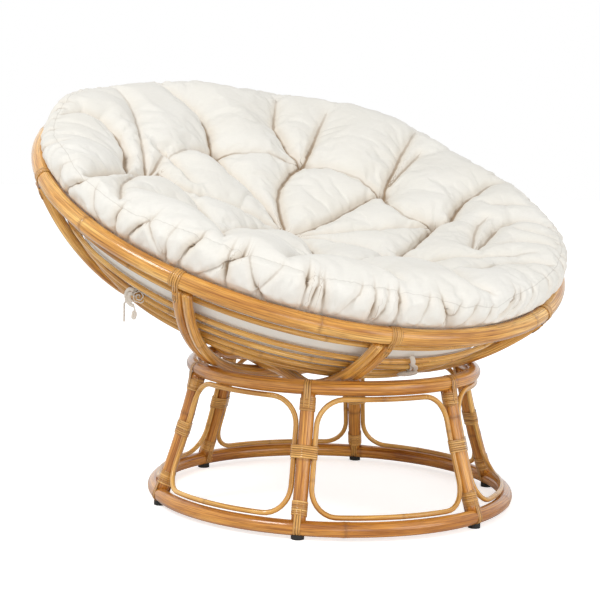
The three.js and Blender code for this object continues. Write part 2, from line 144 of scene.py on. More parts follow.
# %% [markdown]
# ## One helper for every pole, cane and strip
# A rattan pole is straight when it is cut, and is bent with steam. It is made the same way here:
# a cone with two equal ends is a straight stick, its long edges are subdivided into stations, and
# then each station is carried to its place on the route and turned with it. A curve with a bevel
# would be shorter, but it can't write down where each point lies on the stick. Two attributes do
# that here: "grain" holds the place across and along the pole in metres, so the grain follows
# every bend, and "knot" is 1 at a growth ring and fades away from it.

# %% Bend a straight stick along a route
def new_object(name, bm, turn=None, smooth=True):
    mesh = bpy.data.meshes.new(name)
    if turn is not None:
        bmesh.ops.transform(bm, matrix=turn, verts=bm.verts[:])
    bm.to_mesh(mesh)
    bm.free()
    for face in mesh.polygons:
        face.use_smooth = smooth
    ob = bpy.data.objects.new(name, mesh)
    bpy.context.scene.collection.objects.link(ob)
    return ob


def straight_stick(bm, count, sides, closed):
    """Adds a stick to the mesh and gives back its vertices. A layer marks the older ones."""
    done = bm.verts.layers.int.get("done") or bm.verts.layers.int.new("done")
    for v in bm.verts:
        v[done] = 1
    made = bmesh.ops.create_cone(bm, cap_ends=not closed, segments=sides, radius1=1, radius2=1, depth=1)
    long_edges = {e for v in made["verts"] for e in v.link_edges
                  if abs(e.verts[0].co.z - e.verts[1].co.z) > 0.5}
    bmesh.ops.subdivide_edges(bm, edges=list(long_edges), cuts=count - 2, use_grid_fill=True)
    return [v for v in bm.verts if not v[done]]


def sweep_into(bm, stations, sides, closed=False, start=0.0):
    """stations: (place, along, facing, half width, half thickness, distance, knot)."""
    grain = bm.verts.layers.float_vector.get("grain") or bm.verts.layers.float_vector.new("grain")
    knot = bm.verts.layers.float.get("knot") or bm.verts.layers.float.new("knot")
    if closed:
        place, along, facing, wide, thick, far, mark = stations[0]
        step = (stations[-1][0] - place).length
        stations = stations + [(place, along, facing, wide, thick, stations[-1][5] + step, mark)]
    frames = []
    for place, along, facing, wide, thick, far, mark in stations:
        along = along.normalized()
        out = (facing - along * facing.dot(along)).normalized()
        frames.append((place, along.cross(out), out))
    verts = straight_stick(bm, len(stations), sides, closed)
    for v in verts:
        i = round((v.co.z + 0.5) * (len(stations) - 1))
        place, side, out = frames[i]
        wide, thick, far, mark = stations[i][3:]
        x, y = v.co.x * wide, v.co.y * thick
        v.co = place + side * x + out * y
        v[grain] = Vector((x, y, far + start))
        v[knot] = mark
    if closed:
        bmesh.ops.remove_doubles(bm, verts=verts, dist=0.00001)


def finish_bmesh(name, bm, turn):
    bm.verts.layers.int.remove(bm.verts.layers.int["done"])
    bmesh.ops.recalc_face_normals(bm, faces=bm.faces[:])
    return new_object(name, bm, turn)


# %% [markdown]
# ## Routes and growth rings
# Rattan grows in lengths of twenty to fifty centimetres between rings, and at each ring the
# stick is a little thicker, with a fine groove above it. A route is measured first, so that the
# stations lie evenly along it and crowd together where a growth ring needs them.

# %% Routes with growth rings
SWELL_SHARE, SWELL_REACH = 0.045, 0.007
GROOVE_SHARE, GROOVE_REACH, GROOVE_ABOVE = 0.035, 0.0011, 0.0016
MARK_REACH, RING_REACH = 0.0035, 0.03
CROWDED = (-0.012, -0.007, -0.004, -0.0015, 0.0, 0.0008, GROOVE_ABOVE, 0.0026, 0.005, 0.010)
END_MARGIN, LEAST_STEP, WOBBLE_SHARE = 0.004, 0.0006, 0.012


class Route:
    def __init__(self, points, closed=False):
        pts = [Vector(p) for p in points]
        if closed:
            pts.append(pts[0])
        self.pts, self.closed = pts, closed
        self.far = [0.0]
        for a, b in zip(pts, pts[1:]):
            self.far.append(self.far[-1] + (b - a).length)
        self.length = self.far[-1]

    def at(self, s):
        i = int(np.searchsorted(self.far, s, side="right")) - 1
        i = min(max(i, 0), len(self.pts) - 2)
        t = (s - self.far[i]) / (self.far[i + 1] - self.far[i])
        return self.pts[i].lerp(self.pts[i + 1], min(max(t, 0.0), 1.0))

    def along(self, s):
        d = 0.002
        if self.closed:
            return self.at((s + d) % self.length) - self.at((s - d) % self.length)
        return self.at(min(s + d, self.length)) - self.at(max(s - d, 0.0))


def growth_rings(length, gap, rng):
    places, s = [], rng.uniform(0.2, 0.8) * gap
    while s < length - 0.03:
        places.append(s)
        s += gap * rng.uniform(0.75, 1.25)
    return places


def swell(s, rings):
    """How much thicker the pole is at s, and how near a growth ring lies."""
    near = min((abs(s - k) for k in rings), default=1.0)
    if near > RING_REACH:
        return 1.0, 0.0
    groove = min(abs(s - k - GROOVE_ABOVE) for k in rings)
    size = 1 + SWELL_SHARE * math.exp(-(near / SWELL_REACH) ** 2)
    size -= GROOVE_SHARE * math.exp(-(groove / GROOVE_REACH) ** 2)
    return size, math.exp(-(near / MARK_REACH) ** 2)


def pole_stations(route, radius, step, rings, facing, seed):
    count = max(4, int(route.length / step))
    places = {round(route.length * i / count, 5) for i in range(count + (0 if route.closed else 1))}
    places |= {round(k + d, 5) for k in rings for d in CROWDED
               if END_MARGIN < k + d < route.length - END_MARGIN}
    out = []
    for s in sorted(places):
        if out and s - out[-1][5] < LEAST_STEP:
            continue
        size, mark = swell(s, rings)
        size *= 1 + WOBBLE_SHARE * noise.noise(Vector((s * 9, seed, 0.3)))
        p = route.at(s)
        out.append((p, route.along(s), facing(p), radius * size, radius * size, s, mark))
    return out


def pole(name, points, radius, facing, turn, *, gap, seed, sides=20, step=0.014, closed=False):
    route = Route(points, closed)
    rings = growth_rings(route.length, gap, random.Random(seed))
    bm = bmesh.new()
    stations = pole_stations(route, radius, step, rings, facing, seed)
    sweep_into(bm, stations, sides, closed, start=seed * 3.7)
    ob = finish_bmesh(name, bm, turn)
    print(f"{name}: {route.length:.3f} m long, {len(rings)} growth rings, {len(ob.data.polygons)} faces")
    return ob


# %% [markdown]
# ## Material helpers
# Every material is built of the same few moves, so they have short names. An input is given by
# its name with "in_" before it, as a value or as the output that feeds it. Each helper gives back
# the output that the next node needs, and a material then reads as one sum.

# %% Material helpers
def set_inputs(tree, node, **values):
    for key, value in values.items():
        if not key.startswith("in_"):
            setattr(node, key, value)
            continue
        key = key[3:]
        socket = node.inputs[int(key) if key.isdigit() else key.replace("_", " ")]
        if isinstance(value, bpy.types.NodeSocket):
            tree.links.new(value, socket)
        else:
            socket.default_value = value


def add(tree, kind, output, **values):
    node = tree.nodes.new("ShaderNode" + kind)
    row, column = divmod(len(tree.nodes), 8)
    node.location = (column * 220, -row * 300)
    set_inputs(tree, node, **values)
    return node.outputs[output]


def maths(tree, operation, first, second=0.5):
    return add(tree, "Math", "Value", operation=operation, in_0=first, in_1=second)


def mix(tree, amount, first, second, how="MIX"):
    return add(tree, "Mix", "Result", data_type="RGBA", blend_type=how, in_Factor=amount,
               in_A=first, in_B=second)


def ramp(tree, source, *stops):
    output = add(tree, "ValToRGB", "Color", in_Fac=source)
    points = output.node.color_ramp.elements
    if len(stops) > len(points):
        points.new(0.5)
    for point, (place, colour) in zip(points, stops):
        point.position = place
        point.color = (*colour, 1)
    return output


def bump(tree, height, strength, distance):
    return add(tree, "Bump", "Normal", in_Height=height, in_Strength=strength, in_Distance=distance)


def start_material(name):
    mat = bpy.data.materials.new(name)
    mat.use_nodes = True
    return mat, mat.node_tree, mat.node_tree.nodes["Principled BSDF"]


def dress(ob, material, body, slot_name, *nodes):
    ob.data.materials.append(material)
    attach(ob, body)
    if nodes:
        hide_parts(*nodes)
    return ob


print("helpers for materials and pieces are ready")

# %% [markdown]
# ## Lacquered rattan
# The stick is honey coloured with long fine streaks, paler and darker patches a hand long, and a
# darker line at each growth ring, under a clear lacquer that gives a soft highlight. The streaks
# are noise that is squeezed across the grain and stretched along it. Reading the "grain"
# attribute instead of object coordinates lets them run round every bend of the pole. A binding's
# strip also takes a painted shade along both its edges, where it lies against the next turn.

# %% Rattan material
def rattan(name, body, deep, pale, ring_dark_and_edge_shade, gloss, streak=1.0, edge=0.0):
    mat, tree, shader = start_material(name)
    place = add(tree, "Attribute", "Vector", attribute_name="grain")
    knot = add(tree, "Attribute", "Fac", attribute_name="knot")
    noises = []
    for across, along, detail, rough in ((430 * streak, 8, 4.0, 0.65), (45, 5.5, 3.0, 0.5),
                                         (900 * streak, 30, 2.0, 0.5)):
        stretched = add(tree, "Mapping", "Vector", in_Vector=place, in_Scale=(across, across, along))
        noises.append(add(tree, "TexNoise", "Fac", in_Vector=stretched, in_Scale=1.0, in_Detail=detail,
                          in_Roughness=rough))
    fine, wide, pores = noises
    colour = ramp(tree, wide, (0.34, deep), (0.5, body), (0.66, pale))
    for source, low, high, dark, amount in ((fine, 0.36, 0.60, (0.50, 0.36, 0.22), 0.84),
                                            (pores, 0.30, 0.44, (0.40, 0.27, 0.15), 0.60)):
        streaks = ramp(tree, source, (low, dark), (high, (1.15, 1.15, 1.12)))
        colour = mix(tree, amount, colour, streaks, "MULTIPLY")
    across = maths(tree, "ABSOLUTE", add(tree, "SeparateXYZ", "X", in_Vector=place))
    # Painted shade along both edges of a binding's strip, as strong as edge says, in the growth-ring colour.
    edge_shade = add(tree, "MapRange", "Result", in_Value=across, in_From_Min=0.0012, in_From_Max=0.0020,
                    in_To_Max=edge)
    for amount in (maths(tree, "MULTIPLY", knot, 0.42), edge_shade):
        colour = mix(tree, amount, colour, (*ring_dark_and_edge_shade, 1))
    rough = add(tree, "MapRange", "Result", in_Value=wide, in_To_Min=gloss - 0.06, in_To_Max=gloss + 0.12)
    set_inputs(tree, shader, in_Base_Color=colour, in_Roughness=rough, in_Specular_IOR_Level=0.20,
               in_Normal=bump(tree, fine, 0.15, 0.0006), in_Coat_Weight=1.0, in_Coat_Roughness=0.11)
    return mat


POLE_RATTAN = rattan("lacquered_pole", (0.70, 0.350, 0.068), (0.54, 0.236, 0.036),
                     (0.86, 0.53, 0.165), (0.20, 0.072, 0.014), 0.36)
BASE_RATTAN = rattan("lacquered_base_pole", (0.57, 0.235, 0.030), (0.40, 0.142, 0.012),
                     (0.73, 0.355, 0.072), (0.15, 0.050, 0.010), 0.36)
CANE_RATTAN = rattan("lacquered_cane", (0.71, 0.385, 0.085), (0.57, 0.275, 0.048),
                     (0.84, 0.52, 0.160), (0.28, 0.11, 0.025), 0.34, streak=1.4)
# The binding strip's edge value is the strength of its painted edge shade.
STRIP_RATTAN = rattan("binding_strip", (0.68, 0.365, 0.090), (0.50, 0.235, 0.044),
                      (0.82, 0.50, 0.160), (0.19, 0.070, 0.016), 0.38, streak=1.2, edge=0.66)
print("rattan materials:", [m.name for m in (POLE_RATTAN, BASE_RATTAN, CANE_RATTAN, STRIP_RATTAN)])

# %% [markdown]
# ## Tie tail
# The cushion is held by cloth ties that are knotted round the thin canes. The loose end of the
# left one hangs a few centimetres below its knot. It is the only piece of the chair that hangs
# free, so it comes before the rest: a soft, narrow, slightly uneven tape.

# %% Where the ties are, and the hanging tail
RING_DEPTHS = [0.041, 0.088, 0.116, 0.143, 0.168]
LEFT_TIE, RIGHT_TIE = math.radians(-80), math.radians(-2)
TIE_BAND, KNOT_R, KNOT_SINK = 0.0022, 0.008, 0.0011
TAIL_LENGTH, TAIL_R, TAIL_STEPS = 0.034, 0.0018, 16


def cane_ring_radius(depth):
    return math.sqrt(BALL_CANES**2 - (RIM_DROP + depth) ** 2)


def knot_place(angle, depth, away=0.0):
    """The place on a thin ring at that angle, moved away from the ball's centre."""
    centre = polar(cane_ring_radius(depth), angle, -(RIM_DROP + depth))
    return centre + centre.normalized() * away


knot_away = SOLID_CANE + 2 * SOLID_GAP + TIE_BAND + KNOT_R - KNOT_SINK
left_knot = TO_BOWL @ knot_place(LEFT_TIE, RING_DEPTHS[3], knot_away)
tail_top = left_knot - Vector((0, 0, KNOT_R + SOLID_GAP))
tail_points = [tail_top - Vector((0, 0, TAIL_LENGTH * i / TAIL_STEPS)) for i in range(TAIL_STEPS + 1)]


def tail_piece():
    bm = bmesh.new()
    stations = []
    for i, p in enumerate(tail_points):
        size = TAIL_R * (1 + 0.10 * math.sin(i * 1.9) * (0 < i < TAIL_STEPS))
        far = TAIL_LENGTH * i / TAIL_STEPS
        stations.append((p, Vector((0, 0, -1)), Vector((0.6, -0.8, 0)), size, size * 0.92, far, 0))
    sweep_into(bm, stations, 12)
    return finish_bmesh("tie_tail", bm, None)


tail = tail_piece()
print("tail hangs from", [round(x, 4) for x in tail_top])

# %% [markdown]
# ## Cotton
# The cushion's cover is an off-white plain-weave cotton, matt and soft. Threads a millimetre
# apart would shimmer at this distance, so the weave is a fine low bump, and the life of the
# surface comes from faint slubs and very slight warm patches. A little sheen lights the edges.
# Shade is also painted into the cloth: a painted shade where it folds, a dark painted line along
# the thread of a crease, and painted shade at a stitch and along the seam. Attributes of the
# cushion say where that is. The ties lack them, and so stay plain.

# %% Cotton material
# Painted shade: the attribute, where it may show, the width of its thin line, its strength and its shaded
# tone.
PAINTED_SHADES = (("fold_shade", None, 0.0, 0.30, (0.74, 0.58, 0.41)),
         ("crease", "fold_shade", 0.0034, 0.85, (0.30, 0.195, 0.105)),
         ("stitch", None, 0.0, 0.55, (0.40, 0.28, 0.17)),
         ("seam", "border", 0.0013, 0.26, (0.36, 0.32, 0.27)))


def painted_shade_amount(tree, name, where, width):
    """How much painted shade: a mark's own attribute, or a thin line where it is zero, shown as far as
    another allows.
    """
    source = add(tree, "Attribute", "Fac", attribute_name=name)
    if where is None:
        return source
    thin = add(tree, "MapRange", "Result", in_Value=maths(tree, "ABSOLUTE", source),
               in_From_Min=width * 0.25, in_From_Max=width, in_To_Min=1.0, in_To_Max=0.0)
    return maths(tree, "MULTIPLY", thin, add(tree, "Attribute", "Fac", attribute_name=where))


def cotton(name, body, shade, weave_scale, weave_bump):
    mat, tree, shader = start_material(name)
    place = add(tree, "TexCoord", "Object")
    patches = add(tree, "TexNoise", "Fac", in_Vector=place, in_Scale=7.0, in_Detail=4.0)
    stretched = add(tree, "Mapping", "Vector", in_Vector=place, in_Scale=(90, 90, 900))
    slub = add(tree, "TexNoise", "Fac", in_Vector=stretched, in_Scale=1.0, in_Detail=2.0)
    colour = mix(tree, 0.06, ramp(tree, patches, (0.35, shade), (0.65, body)), slub, "MULTIPLY")
    # Each painted shade is mixed into the cotton's colour.
    for mark, where, width, strength, tone in PAINTED_SHADES:
        amount = maths(tree, "MULTIPLY", painted_shade_amount(tree, mark, where, width), strength)
        colour = mix(tree, amount, colour, (*tone, 1))
    warp, weft = (add(tree, "TexWave", "Fac", wave_type="BANDS", bands_direction=way, in_Vector=place,
                      in_Scale=weave_scale, in_Distortion=1.2, in_Detail=1.0) for way in "XY")
    height = maths(tree, "ADD", maths(tree, "MULTIPLY", warp, weft), slub)
    set_inputs(tree, shader, in_Base_Color=colour, in_Normal=bump(tree, height, weave_bump, 0.0004),
               in_Roughness=0.92, in_Specular_IOR_Level=0.2, in_Sheen_Weight=0.12, in_Sheen_Roughness=0.5)
    return mat


COTTON = cotton("cushion_cotton", (0.875, 0.855, 0.80), (0.855, 0.83, 0.765), 260, 0.25)
TIE_COTTON = cotton("tie_cotton", (0.82, 0.76, 0.68), (0.72, 0.65, 0.56), 420, 0.45)
dress(tail, TIE_COTTON, "bowl", "tie_cloth", "tie_left_tail")
print("cotton materials:", COTTON.name, TIE_COTTON.name)

# %% [markdown]
# ## Base rings
# Two hoops of thick pole carry everything. Each is one stick, bent round and joined behind a
# leg. A full circle swept in even steps keeps it truly round.

# %% Base rings
LEG_ANGLES = [math.radians(12.9 + 60 * i) for i in range(6)]


def circle_points(radius, z, first=0.0, count=180):
    return [polar(radius, first + 2 * math.pi * i / count, z) for i in range(count)]


def from_axis(p):
    return Vector((p.x, p.y, 0))


for name, radius, z, node_name, seed in (
        ("upper_base_ring", RING_TOP_R, RING_TOP_Z, "base_ring_top", 5),
        ("lower_base_ring", RING_LOW_R, RING_LOW_Z, "base_ring_bottom", 8)):
    ring = pole(name, circle_points(radius, z, LEG_ANGLES[3]), RING_POLE, from_axis, TO_BASE,
                sides=24, gap=0.52, closed=True, seed=seed)
    dress(ring, BASE_RATTAN, "base", "rattan_pole", node_name)

# %% [markdown]
# ## Legs
# Six short poles stand between the rings, and lean and bow outwards a little. Each end runs a few
# millimetres into the round of its ring, which hides the cut, and the collar covers the joint.

# %% Legs
LEG_POLE, LEG_SEAT, LEG_STEPS, LEG_BOW_SHARE = 0.0133, 0.0085, 24, 0.3


def leg_radius(z):
    s = (RING_TOP_Z - z) / (RING_TOP_Z - RING_LOW_Z)
    return RING_TOP_R + (RING_LOW_R - RING_TOP_R) * (s + LEG_BOW_SHARE * (s * s - s))


def leg_point(angle, z):
    return polar(leg_radius(z), angle, z)


for i, angle in enumerate(LEG_ANGLES):
    top, low = RING_TOP_Z - LEG_SEAT, RING_LOW_Z + LEG_SEAT
    points = [leg_point(angle, top + (low - top) * k / LEG_STEPS) for k in range(LEG_STEPS + 1)]
    leg = pole(f"leg_pole_{i + 1}", points, LEG_POLE, from_axis, TO_BASE, sides=24, step=0.010,
               gap=0.19, seed=21 + i)
    dress(leg, BASE_RATTAN, "base", "rattan_pole", f"leg_{i + 1}")

# %% [markdown]
# ## Hoops between the legs
# A thin cane is bent into a rounded window in each bay. It touches both rings and runs down
# along both legs, where one binding catches the leg and the hoops on its two sides.

# %% Hoops
HOOP_CANE, HOOP_CORNER = 0.0049, 0.050
HOOP_SIDE = SOLID_LEG + SOLID_HOOP + SOLID_GAP
HOOP_INSET = SOLID_RING + SOLID_GAP + SOLID_HOOP
CORNER_STEPS, SIDE_STEPS, ACROSS_STEPS = 12, 24, 20


def hoop_points(middle):
    top, low = RING_TOP_Z - HOOP_INSET, RING_LOW_Z + HOOP_INSET
    turns = [math.pi / 2 * i / CORNER_STEPS for i in range(CORNER_STEPS + 1)]
    corner = [(HOOP_CORNER * (1 - math.cos(q)), HOOP_CORNER * (1 - math.sin(q))) for q in turns]
    straight = low - top + 2 * HOOP_CORNER
    edge = [(top - down, inset) for down, inset in corner]
    edge += [(top - HOOP_CORNER + straight * i / SIDE_STEPS, 0) for i in range(1, SIDE_STEPS)]
    edge += [(low + down, inset) for down, inset in reversed(corner)]
    edge = [(z, math.pi / 6 - math.asin(HOOP_SIDE / leg_radius(z)) - inset / leg_radius(z))
            for z, inset in edge]
    pts = []
    for side, z_end, rows in ((1, low, edge), (-1, top, edge[::-1])):
        pts += [polar(leg_radius(z), middle + side * a, z) for z, a in rows]
        spans = [side * rows[-1][1] * (1 - 2 * i / ACROSS_STEPS) for i in range(1, ACROSS_STEPS)]
        pts += [polar(leg_radius(z_end), middle + a, z_end) for a in spans]
    return pts


for i, angle in enumerate(LEG_ANGLES):
    hoop = pole(f"window_cane_{i + 1}", hoop_points(angle + math.pi / 6), HOOP_CANE, from_axis, TO_BASE,
                sides=14, step=0.010, gap=0.27, closed=True, seed=40 + i)
    dress(hoop, CANE_RATTAN, "base", "rattan_cane", f"hoop_{i + 1}")

# %% [markdown]
# ## Wound bindings
# Every joint is bound with the flat outer peel of the cane, a strip four millimetres wide and
# about one thick. A texture of lines would look painted on, so each binding is one real strip
# that goes round and round, every turn lying against the last, slightly uneven as hands wind it.

# %% Wind a strip round an outline
STRIP_THICK, STRIP_LIFT = 0.0012, 0.0009
TURN_STEPS, TURN_WANDER = 28, 0.00035
WOUND_WIDE, WOUND_THICK, TAPER_STEPS, TIP_SHARE = 0.0040, 0.0013, 5, 0.35


def lay_strip(bm, stops, wide, thick, start, tapered=False):
    """stops: (place, facing) along the middle of a flat strip. Tapered ends tuck themselves in."""
    stations, far, last = [], 0.0, len(stops) - 1
    for i, (p, facing) in enumerate(stops):
        far += (p - stops[i - 1][0]).length if i else 0
        along = stops[min(i + 1, last)][0] - stops[max(i - 1, 0)][0]
        size = min(1.0, TIP_SHARE + min(i, last - i) / TAPER_STEPS) if tapered else 1.0
        stations.append((p, along, facing, wide / 2 * size, thick / 2 * size, far, 0.0))
    sweep_into(bm, stations, 8, start=start)


def winding(bm, centre, axis, across, outline, height, turns, seed):
    """outline(angle) gives the reach from the axis as (across, out) for one turn."""
    rng = random.Random(seed)
    axis = axis.normalized()
    across = (across - axis * across.dot(axis)).normalized()
    out = across.cross(axis)
    steps = int(turns * TURN_STEPS)
    jitter = [rng.uniform(-TURN_WANDER, TURN_WANDER) for _ in range(int(turns) + 2)]
    stops = []
    for i in range(steps + 1):
        t = i / steps
        a = 2 * math.pi * turns * t + seed
        x, y = outline(a)
        x2, y2 = outline(a + 0.02)
        number = int(turns * t)
        share = turns * t - number
        lift = height * (t - 0.5) + jitter[number] * (1 - share) + jitter[number + 1] * share
        facing = (across * (x2 - x) + out * (y2 - y)).cross(axis).normalized()
        if facing.dot(across * x + out * y) < 0:
            facing.negate()
        stops.append((centre + across * x + out * y + axis * lift, facing))
    lay_strip(bm, stops, WOUND_WIDE, WOUND_THICK, seed * 1.3, tapered=True)


def round_outline(radius):
    return lambda a: (radius * math.cos(a), radius * math.sin(a))


def band_outline(side, small, big):
    """The taut band round a thick pole with a thin one on each side, followed at an even pace."""
    ring = []
    for k in range(361):
        c, s = math.cos(math.radians(k % 360)), math.sin(math.radians(k % 360))
        on_small = side * abs(c) + small > big
        r = small if on_small else big
        ring.append(((math.copysign(side, c) if on_small else 0.0) + r * c, r * s))
    ring = np.array(ring)
    far = np.concatenate([[0], np.cumsum(np.linalg.norm(np.diff(ring, axis=0), axis=1))])

    def reach(a):
        s = (a / (2 * math.pi) % 1.0) * far[-1]
        return float(np.interp(s, far, ring[:, 0])), float(np.interp(s, far, ring[:, 1]))
    return reach


print("a strip is wound in", TURN_STEPS, "steps to the turn")

# %% [markdown]
# ## Bindings of the base
# Each leg has three of them: a collar under the upper ring, a wide one at half height that takes
# in both hoops, and a collar above the lower ring. Three strips also run over the upper ring and
# three under the lower one, in line with the leg, and tie leg and rings together. The bowl lies
# on the upper ones and presses them flat, which leaves it room to tilt.

# %% Bindings of the base
STRAP_PRESS, STRAP_WIDE, STRAP_PITCH, STRAP_END = 0.0008, 0.0044, 0.0046, 0.034
STRAP_TURN, STRAP_STEPS, ROUND_STEPS, STRAP_ON_LEG = 0.004, 6, 24, 0.0008
COLLAR_HEIGHTS = {1: (RING_TOP_R, RING_TOP_Z, 0.028, 6.4), -1: (RING_LOW_R, RING_LOW_Z, 0.032, 7.4)}
BAND_SHARE, BAND_HEIGHT, BAND_TURNS, BAND_LIFT = 0.47, 0.0260, 6.5, 0.0010


def leg_axis(angle, z):
    return (leg_point(angle, z + 0.004) - leg_point(angle, z - 0.004)).normalized()


def ring_strap(bm, angle, ring_radius, ring_z, shift, side, seed):
    """A strip round the ring above or below a leg, its ends tucked into the collar."""
    out = polar(1, angle)
    centre = polar(ring_radius, angle, ring_z)
    on_ring, on_leg = RING_POLE + STRIP_LIFT, LEG_POLE + STRAP_ON_LEG
    z_collar, z_ring = ring_z - side * STRAP_END, ring_z - side * STRAP_TURN
    shares = [i / STRAP_STEPS for i in range(STRAP_STEPS + 1)]
    stops = []
    for t in shares:
        reach = on_leg + (on_ring - on_leg) * t**2
        stops.append((leg_point(angle, z_collar + (z_ring - z_collar) * t) + out * reach, out))
    for i in range(1, ROUND_STEPS):
        a = math.pi * i / ROUND_STEPS
        facing = out * math.cos(a) + Vector((0, 0, side)) * math.sin(a)
        stops.append((centre + facing * (on_ring - STRAP_PRESS * math.sin(a) ** 2), facing))
    for t in shares:
        reach = on_ring + (on_leg - on_ring) * (1 - (1 - t) ** 2)
        stops.append((leg_point(angle, z_ring + (z_collar - z_ring) * t) - out * reach, -out))
    shifted = [(p + sideways(angle) * shift, facing) for p, facing in stops]
    lay_strip(bm, shifted, STRAP_WIDE, STRIP_THICK, seed)


def leg_windings(number, angle):
    bm = bmesh.new()
    for side, (ring_radius, ring_z, height, turns) in COLLAR_HEIGHTS.items():
        z = ring_z - side * (SOLID_RING + 0.002 + height / 2)
        winding(bm, leg_point(angle, z), leg_axis(angle, z), sideways(angle),
                round_outline(LEG_POLE + BAND_LIFT), height - STRAP_PITCH, turns, number * 7 + side)
        for k in (-1, 0, 1):
            ring_strap(bm, angle, ring_radius, ring_z, k * STRAP_PITCH, side, number + k)
    collar = finish_bmesh(f"leg_collars_{number}", bm, TO_BASE)
    dress(collar, STRIP_RATTAN, "base", "rattan_pole", f"leg_{number}")
    bm = bmesh.new()
    z = RING_TOP_Z + (RING_LOW_Z - RING_TOP_Z) * BAND_SHARE
    band = band_outline(HOOP_SIDE, SOLID_HOOP + BAND_LIFT, LEG_POLE + BAND_LIFT)
    winding(bm, leg_point(angle, z), leg_axis(angle, z), sideways(angle), band, BAND_HEIGHT, BAND_TURNS,
            number * 11)
    middle = finish_bmesh(f"hoop_binding_{number}", bm, TO_BASE)
    dress(middle, STRIP_RATTAN, "base", "binding_strand", f"leg_binding_{number}")


for i, angle in enumerate(LEG_ANGLES):
    leg_windings(i + 1, angle)
print("bindings wound on", len(LEG_ANGLES), "legs")

# %% [markdown]
# ## Feet
# A black rubber pad under each leg keeps the ring off the floor. The measured solid is right as
# it is, so it stays and only gets its rubber: near black, matt, with a faint mottled bump. The
# steel of the nails is made by the same function.

# %% Feet
def speckled(name, dark, light, scale, detail, roughness, metal=0.0, grit_bump=0.0):
    mat, tree, shader = start_material(name)
    grit = add(tree, "TexNoise", "Fac", in_Vector=add(tree, "TexCoord", "Object"), in_Scale=scale,
               in_Detail=detail)
    set_inputs(tree, shader, in_Base_Color=ramp(tree, grit, (0.0, dark), (1.0, light)),
               in_Roughness=roughness, in_Metallic=metal)
    if grit_bump:
        set_inputs(tree, shader, in_Normal=bump(tree, grit, grit_bump, 0.0003))
    return mat


RUBBER = speckled("foot_rubber", (0.012, 0.012, 0.012), (0.030, 0.029, 0.028), 900.0, 3.0, 0.75,
                  grit_bump=0.3)
NAIL_STEEL = speckled("nail_steel", (0.015, 0.011, 0.008), (0.060, 0.045, 0.035), 1500.0, 2.0, 0.55,
                      metal=0.6)
for i in range(len(LEG_ANGLES)):
    foot = bpy.data.objects[f"foot_{i + 1}"]
    foot.data.materials.clear()
    foot.data.materials.append(RUBBER)
print("rubber on six feet")

# %% [markdown]
# ## Rim
# The rim is the thickest pole of all, bent to a full circle a little over a metre across.

# %% Rim
def from_ball(p):
    return Vector(p)


rim = pole("rim_pole", circle_points(RIM_R, -RIM_DROP, BINDING_ANGLES[6], 240), RIM_POLE, from_ball,
           TO_BOWL, sides=28, gap=0.46, closed=True, seed=3)
dress(rim, POLE_RATTAN, "bowl", "rattan_pole", "bowl_rim")

# %% [markdown]
# ## Woven pairs of bent poles
# Four pairs of poles carry the bowl. Each pair is bent from one binding on the rim, under the
# bowl and up to another, and the pairs cross like the strokes of a hash sign. At each crossing
# one pair dives inside the other, so the four are woven and hold one another. A route is an arc
# seen from above, laid on the ball, and it ends where it meets the rim.

# %% Woven pairs
PAIRS = [(1, 4), (3, 6), (5, 0), (7, 2)]
PAIR_GAP = 2 * ARCH_POLE + 0.0004
ARCH_APEX, ARCH_SHIFT, ARCH_STEPS = 0.1073, 0.016, 160
DIVE_BEGIN, DIVE_DEEP, RISE_BEGIN, RISE_END = 0.030, 0.084, 0.176, 0.300


def ease(a, b, x):
    t = min(1.0, max(0.0, (x - a) / (b - a)))
    return t * t * (3 - 2 * t)


def arch_points(a0, a1, apex, along):
    a0, a1 = a0 + along / RIM_R, a1 - along / RIM_R
    middle, half = (a0 + a1) / 2, (a1 - a0) / 2
    xe, ye = RIM_R * math.cos(half), RIM_R * math.sin(half)
    bend = ((xe - apex) ** 2 + ye**2) / (2 * (xe - apex))
    end = math.asin(ye / bend)
    turn = Matrix.Rotation(middle, 3, "Z")
    pts = []
    for i in range(ARCH_STEPS + 1):
        a = end * (2 * i / ARCH_STEPS - 1)
        x, y = apex + bend * (1 - math.cos(a)), bend * math.sin(a)
        dive = ease(DIVE_BEGIN, DIVE_DEEP, y) * (1 - ease(RISE_BEGIN, RISE_END, y))
        ball = BALL_OUT - (BALL_OUT - BALL_IN) * dive
        z = -math.sqrt(ball * ball - x * x - y * y)
        if Vector((math.hypot(x, y) - RIM_R, z + RIM_DROP)).length >= RIM_POLE + 0.002:
            pts.append(turn @ Vector((y, -x, z)))
    return pts


HEADS = {}
for i, (start, stop) in enumerate(PAIRS):
    a0, a1 = BINDING_ANGLES[start], BINDING_ANGLES[stop]
    if a1 < a0:
        a1 += 2 * math.pi
    for j, letter in enumerate("ab"):
        pts = arch_points(a0, a1, ARCH_APEX + j * PAIR_GAP, ARCH_SHIFT + (j - 0.5) * PAIR_GAP)
        if letter == "a":
            HEADS[start], HEADS[stop] = pts, pts[::-1]
        ob = pole(f"bent_pole_{i + 1}{letter}", pts, ARCH_POLE, from_ball, TO_BOWL,
                  gap=0.36, seed=60 + 2 * i + j)
        dress(ob, POLE_RATTAN, "bowl", "rattan_pole", f"arch_{i + 1}{letter}")

# %% [markdown]
# ## Thin cane rings
# Five thin canes run round inside the poles, closer together towards the bottom, and carry the
# cushion between the poles. They are paler than the poles, and seldom lie perfectly true, so each
# wanders by a millimetre or so.

# %% Thin cane rings
RING_WANDER, RING_WAVES, RING_INWARD = 0.0016, 2.2, 0.0004


